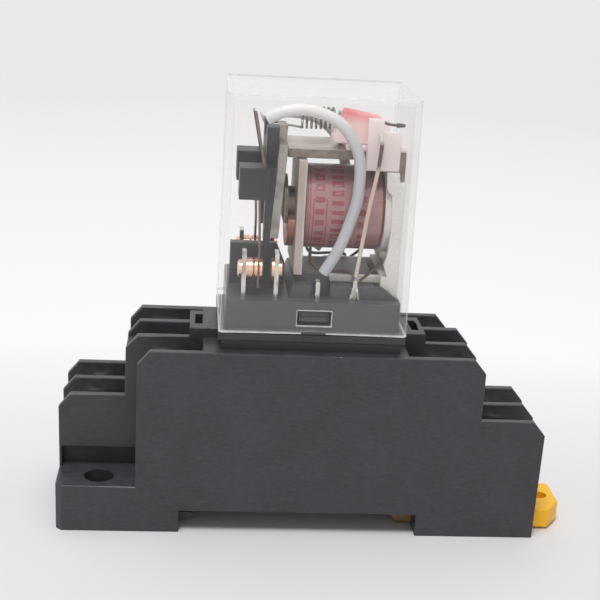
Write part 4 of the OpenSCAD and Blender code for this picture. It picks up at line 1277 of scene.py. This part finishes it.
@dataclass
class Magnet:
    """Coil, core, yoke and the spring that pulls the armature back."""

    spring_r: float = 1.47
    wire_d: float = 0.36
    spring_x: float = -2.35
    spring_len: float = 4.7
    spring_z: float = 29.6
    turns: int = 7
    steps_per_turn: int = 12
    # Points of the spring's two hooks, along X and down from its axis
    tail_hook: tuple[Span, ...] = (
        (-6.7, 2.0), (-6.7, 1.5), (-6.4, 1.2), (-4.4, 1.2), (-3.05, 1.35))
    anchor_hook: tuple[Span, ...] = (
        (2.6, 0.75), (2.85, 0.1), (3.5, 0.0), (3.85, 0.3), (3.9, 0.8))
    # Darker and browner towards its left end, fading out along X
    bobbin: MouldedPlastic = MouldedPlastic(
        "bobbin_nylon", shade(226, 216, 206), shade(250, 248, 246), 0.42, 0.012, soft=0.5,
        stain=(-1.5, -0.8), stain_colour=shade(184, 166, 155))
    tape: PrintedTape = PrintedTape(
        "coil_tape", shade(151, 101, 100), shade(174, 130, 129), shade(150, 48, 58))
    copper: WoundWire = WoundWire("winding_copper", shade(196, 120, 74), shade(110, 60, 36))
    iron: RolledMetal = RolledMetal(
        "plated_iron", shade(208, 199, 191), shade(176, 163, 152), 0.42, Axis.X,
        dulled=0.4, metallic=0.6, sheared=0.9, raw=shade(98, 78, 66))
    core: RolledMetal = RolledMetal(
        "core_iron", shade(136, 120, 106), shade(84, 70, 60), 0.42, Axis.X)
    ring: RolledMetal = RolledMetal(
        "ring_copper", shade(200, 142, 118), shade(152, 102, 82), 0.42, Axis.Y, metallic=0.7)
    steel: RolledMetal = RolledMetal(
        "spring_wire", shade(150, 146, 142), shade(92, 88, 84), 0.26, Axis.X)

    def build(self, shop: Workshop) -> None:
        """Build and dress the magnet's pieces.

        Args:
            shop: Workshop that makes them.
        """
        shop.eased("bobbin", self.bobbin, Body.RELAY, "bobbin_plastic", 0.12)
        shop.eased("winding", self.copper, Body.RELAY, "winding_copper")
        shop.eased("coil_tape", self.tape, Body.RELAY, "coil_tape")
        shop.eased("core", self.core, Body.RELAY, "magnet_iron")
        shop.eased("shading_ring", self.ring, Body.RELAY, "ring_copper")
        shop.eased("yoke", self.iron, Body.RELAY, "magnet_iron", 0.12)
        spring = shop.wire("return_spring_wire", [self._spring_route()], self.wire_d, self.steel,
                           steps=3, sides=10)
        shop.seat(spring, Body.RELAY, "spring_steel", "return_spring")

    def _spring_route(self) -> list[Vector]:
        """Wind the spring from the hook in the tail to the hook in the anchor.

        Returns:
            Its points in metres.
        """
        x0, z0, r = self.spring_x, self.spring_z, self.spring_r
        route: list[Point] = [(x, 0.0, z0 - down) for x, down in self.tail_hook]
        count = self.turns * self.steps_per_turn
        for i in range(count + 1):
            turn = 2 * math.pi * i / self.steps_per_turn
            route.append((x0 + self.spring_len * i / count, r * math.sin(turn),
                          z0 - r * math.cos(turn)))
        route += [(x, 0.0, z0 - down) for x, down in self.anchor_hook]
        return [in_relay(point) for point in route]


@dataclass
class LampUnit:
    """Indicator with its holder, stub and thin leads."""

    lead_d: float = 0.58
    lead_route: tuple[Point, ...] = (
        (8.2, -6.5, 28.4), (8.22, -7.0, 28.35), (8.3, -7.6, 27.2), (7.9, -8.4, 24.0),
        (6.9, -8.9, 18.0), (6.1, -8.5, 11.0), (5.9, -8.0, 8.4))
    glow: LayeredTone = LayeredTone(
        "lamp_pink",
        ((26.6, shade(255, 230, 226)), (29.8, shade(253, 218, 215)), (30.9, shade(241, 168, 168)),
         (31.7, shade(222, 100, 108))), 0.4, wander=0.12, soft=0.5)
    # Pink tint on the white holder is painted light from the pink lamp beside it
    holder: MouldedPlastic = MouldedPlastic(
        "holder_white", shade(250, 224, 220), shade(253, 234, 231), 0.4, 0.012, soft=0.5)
    lead: LayeredTone = LayeredTone(
        "lamp_lead",
        ((8.0, shade(228, 221, 206)), (14.0, shade(222, 203, 188)), (24.2, shade(212, 187, 173)),
         (25.0, shade(92, 78, 70)), (27.6, shade(84, 72, 66)), (28.2, shade(214, 210, 204))), 0.35)
    dark: LayeredTone = LayeredTone(
        "lead_grey",
        ((26.0, shade(70, 62, 58)), (29.6, shade(92, 86, 82)), (32.0, shade(120, 114, 110))), 0.4)

    def build(self, shop: Workshop) -> None:
        """Build and dress the lamp's pieces.

        Args:
            shop: Workshop that makes them.
        """
        shop.eased("lamp", self.glow, Body.RELAY, "lamp_plastic", 0.25)
        shop.eased("lamp_holder", self.holder, Body.RELAY, "holder_plastic", 0.12)
        shop.dress("lamp_stub", self.dark)
        for pole in Pole:
            route = [in_relay(point, pole) for point in self.lead_route]
            lead = shop.wire(f"lamp_lead_wire_{pole.label}", [route], self.lead_d, self.lead)
            shop.seat(lead, Body.RELAY, "lead_insulation", f"lamp_lead_{pole.label}")


@dataclass
class Leads:
    """Sleeved leads of the common contacts and the coil's wire ends."""

    sleeve_d: float = 1.65
    wire_d: float = 0.44
    front_route: tuple[Point, ...] = (
        (-7.8, -7.2, 30.2), (-5.5, -7.4, 31.35), (-2.7, -7.5, 31.75), (0.1, -7.5, 31.2),
        (2.4, -7.5, 30.0), (4.0, -7.5, 28.1), (5.1, -7.5, 25.9), (5.5, -7.5, 23.8),
        (5.5, -7.5, 21.1), (5.2, -7.5, 18.4), (3.5, -7.5, 12.9), (1.3, -7.2, 8.5))
    rear_route: tuple[Point, ...] = (
        (-7.8, -7.2, 28.2), (-5.6, -7.4, 29.0), (-2.9, -7.5, 29.1), (0.0, -7.5, 28.6),
        (2.4, -7.5, 27.2), (4.0, -7.5, 25.0), (5.0, -7.5, 22.2), (5.3, -7.5, 18.6),
        (4.2, -7.5, 13.2), (1.3, -7.2, 8.5))
    # Wire from the winding to its pin, and the tag beside it
    end_routes: tuple[tuple[Point, ...], ...] = (
        ((-0.4, -3.0, 11.2), (-0.3, -3.4, 9.4), (0.8, -4.6, 8.4), (3.2, -5.0, 8.4),
         (5.0, -5.3, 8.35), (5.85, -5.7, 8.0)),
        ((9.6, -6.1, 10.0), (8.3, -6.4, 8.8), (6.6, -6.6, 7.3)))
    # Whiter at the top and greyer below: painted light from above on the white sleeve
    sleeve: LayeredTone = LayeredTone(
        "sleeve_grey",
        ((8.0, shade(199, 200, 204)), (20.0, shade(195, 195, 200)), (27.0, shade(204, 204, 207)),
         (31.4, shade(233, 230, 228))), 0.4, wander=0.2, soft=0.3)
    dark: LayeredTone = LayeredTone(
        "coil_wire_end",
        ((7.0, shade(120, 84, 60)), (9.0, shade(92, 70, 58)), (11.5, shade(74, 62, 56))),
        0.35, 0.4)

    def build(self, shop: Workshop) -> None:
        """Build and dress the leads.

        Args:
            shop: Workshop that makes them.
        """
        for pole, sleeve in zip(Pole, (self.front_route, self.rear_route)):
            route = [in_relay(point, pole) for point in sleeve]
            piece = shop.wire(f"sleeved_lead_{pole.label}", [route], self.sleeve_d, self.sleeve,
                              steps=8, sides=24)
            shop.seat(piece, Body.RELAY, "sleeve_plastic", f"lead_sleeve_{pole.label}")
        routes = [[in_relay(point, pole) for point in route]
                  for pole in Pole for route in self.end_routes]
        ends = shop.wire("coil_wire_ends", routes, self.wire_d, self.dark)
        shop.seat(ends, Body.RELAY, "coil_wire", "coil_wires")


@dataclass
class Armature:
    """Hinged plate with its card, contact springs and rivets."""

    plate: RolledMetal = RolledMetal(
        "armature_iron", shade(168, 162, 154), shade(110, 104, 98), 0.36, Axis.Z)
    card: MouldedPlastic = MouldedPlastic(
        "card_black", shade(30, 30, 34), shade(44, 44, 48), 0.4, 0.02)
    bronze: RolledMetal = RolledMetal(
        "blade_bronze", shade(130, 112, 98), shade(84, 70, 60), 0.34, Axis.Z)
    rivet: ContactRivet = RelayShell.rivet

    def build(self, shop: Workshop) -> None:
        """Build and dress the armature's pieces.

        Args:
            shop: Workshop that makes them.
        """
        shop.eased("armature", self.plate, Body.ARMATURE, "magnet_iron", 0.1)
        shop.eased("contact_card", self.card, Body.ARMATURE, "card_plastic", 0.12, 0.8)
        for pole in Pole:
            shop.dress(f"moving_spring_{pole.label}", self.bronze)
        shop.eased("moving_contacts", self.rivet, Body.ARMATURE, "contact_metal")


@dataclass
class Studio:
    """Pale floor, soft light and the camera at the photograph's angle.

    Its places are in metres and its turns in radians. Each lamp has a name, a place, a side in
    metres and a power in watts.
    """

    lens: float = 77.24
    sensor: float = 36.0
    nearest: float = 0.005
    place: Point = (-0.017127, -0.183702, 0.088157)
    yaw: float = 0.09
    pitch: float = -0.291
    roll: float = 0.058
    floor_half: float = 4.0
    floor_near: Colour = shade(226, 225, 225)
    floor_mid: Colour = shade(252, 250, 251)
    floor_far: Colour = shade(234, 232, 232)
    mottle: float = 0.2
    # Distances over which the backdrop sets in behind the object and all round it, and fades
    behind: Span = (0.0, 0.075)
    all_round: Span = (0.13, 0.3)
    fading: Span = (0.09, 0.45)
    sky_light: float = 0.37
    sky_seen: float = 1.0
    aim: Point = (0.0, 0.0, 0.03)
    lamps: tuple[tuple[str, Point, float, float], ...] = (
        ("top_light", (-0.05, 0.15, 0.9), 0.9, 2.5),
        ("front_light", (-0.12, -0.36, 0.92), 0.3, 5.5),
        ("fill_light", (-0.05, -0.5, 0.17), 0.4, 0.24))

    def build(self) -> None:
        """Build the camera, the floor, the sky and the lamps."""
        self._camera()
        self._floor()
        self._sky()
        for lamp in self.lamps:
            self._lamp(*lamp)

    def _camera(self) -> None:
        """Set the camera up from its measured turn."""
        ahead = Vector((math.sin(self.yaw) * math.cos(self.pitch),
                        math.cos(self.yaw) * math.cos(self.pitch), math.sin(self.pitch)))
        level = Vector((math.cos(self.yaw), -math.sin(self.yaw), 0.0))
        rise = level.cross(ahead)
        right = level * math.cos(self.roll) + rise * math.sin(self.roll)
        up = rise * math.cos(self.roll) - level * math.sin(self.roll)
        data = bpy.data.cameras.new("camera")
        data.lens = self.lens
        data.sensor_width = self.sensor
        data.clip_start = self.nearest
        camera = put("camera", data)
        turn = Matrix((right, up, -ahead)).transposed().to_4x4()
        camera.matrix_world = Matrix.Translation(self.place) @ turn
        bpy.context.scene.camera = camera

    def _floor(self) -> None:
        """Lay the pale floor."""
        half = self.floor_half
        mesh = bpy.data.meshes.new("floor")
        mesh.from_pydata([(-half, -half, 0), (half, -half, 0), (half, half, 0), (-half, half, 0)],
                         [], [(0, 1, 2, 3)])
        paint = Paint.start("floor_pale")
        graph = paint.graph
        patches = graph.noise(paint.place, pitch=3.0, detail=1.0)
        patch = graph.math("MULTIPLY", patches, self.mottle)
        paint.set(Base_Color=graph.mix(patch, self.floor_near, self.floor_far), Roughness=0.7)
        # Far off, what is seen of the floor is a plain backdrop without the lamps' fall-off
        backdrop = graph.add("ShaderNodeEmission")
        away = graph.reckon("ShaderNodeVectorMath", "LENGTH", paint.place).outputs["Value"]
        fade = graph.share(away, *self.fading)
        graph.set(backdrop, Color=graph.mix(fade, self.floor_mid, self.floor_far))
        back = graph.share(graph.split(paint.place)[1], *self.behind)
        far = graph.math("MAXIMUM", back, graph.share(away, *self.all_round))
        blend = graph.add("ShaderNodeMixShader")
        factor = graph.math("MULTIPLY", far, self._seen(graph))
        parts = (factor, paint.shader.outputs[0], backdrop.outputs[0])
        for socket, part in zip(blend.inputs, parts):
            graph.feed(socket, part)
        graph.chain(blend, paint.output)
        mesh.materials.append(paint.material)
        put("floor", mesh)

    def _sky(self) -> None:
        """Light the scene evenly, with a pale backdrop for what is seen."""
        world = bpy.data.worlds.new("studio_sky")
        world.use_nodes = True
        world.node_tree.nodes.clear()
        graph = Graph(world.node_tree)
        sky = graph.add("ShaderNodeBackground")
        graph.set(sky, Strength=graph.between(self._seen(graph), self.sky_light, self.sky_seen))
        graph.chain(sky, graph.add("ShaderNodeOutputWorld"))
        bpy.context.scene.world = world

    @staticmethod
    def _seen(graph: Graph) -> Link:
        """Tell what is looked at, straight, mirrored or through glass, from what only lights.

        Args:
            graph: Graph to add the nodes to.

        Returns:
            1 for a ray that looks and 0 for one that lights.
        """
        path = graph.add("ShaderNodeLightPath").outputs
        seen = graph.math("MAXIMUM", path["Is Camera Ray"], path["Is Transmission Ray"])
        return graph.math("MAXIMUM", seen, path["Is Glossy Ray"])

    def _lamp(self, name: str, place: Point, size: float, power: float) -> None:
        """Hang one soft lamp that faces the object.

        Args:
            name: Name of the lamp.
            place: Place in metres.
            size: Side of the lamp in metres.
            power: Power in watts.
        """
        data = bpy.data.lights.new(name, "AREA")
        data.shape = "SQUARE"
        data.size = size
        data.energy = power
        lamp = put(name, data)
        lamp.location = place
        way = Vector(self.aim) - Vector(place)
        lamp.rotation_euler = way.to_track_quat("-Z", "Y").to_euler()


def main() -> None:
    """Build the studio and every sub-assembly in order."""
    logging.basicConfig(level=logging.INFO, format="%(message)s")
    bpy.context.scene.view_settings.view_transform = "Standard"
    Studio().build()
    shop = Workshop()
    for unit in (Socket(), RelayShell(), Magnet(), LampUnit(), Leads(), Armature()):
        unit.build(shop)


if __name__ == "__main__":
    main()
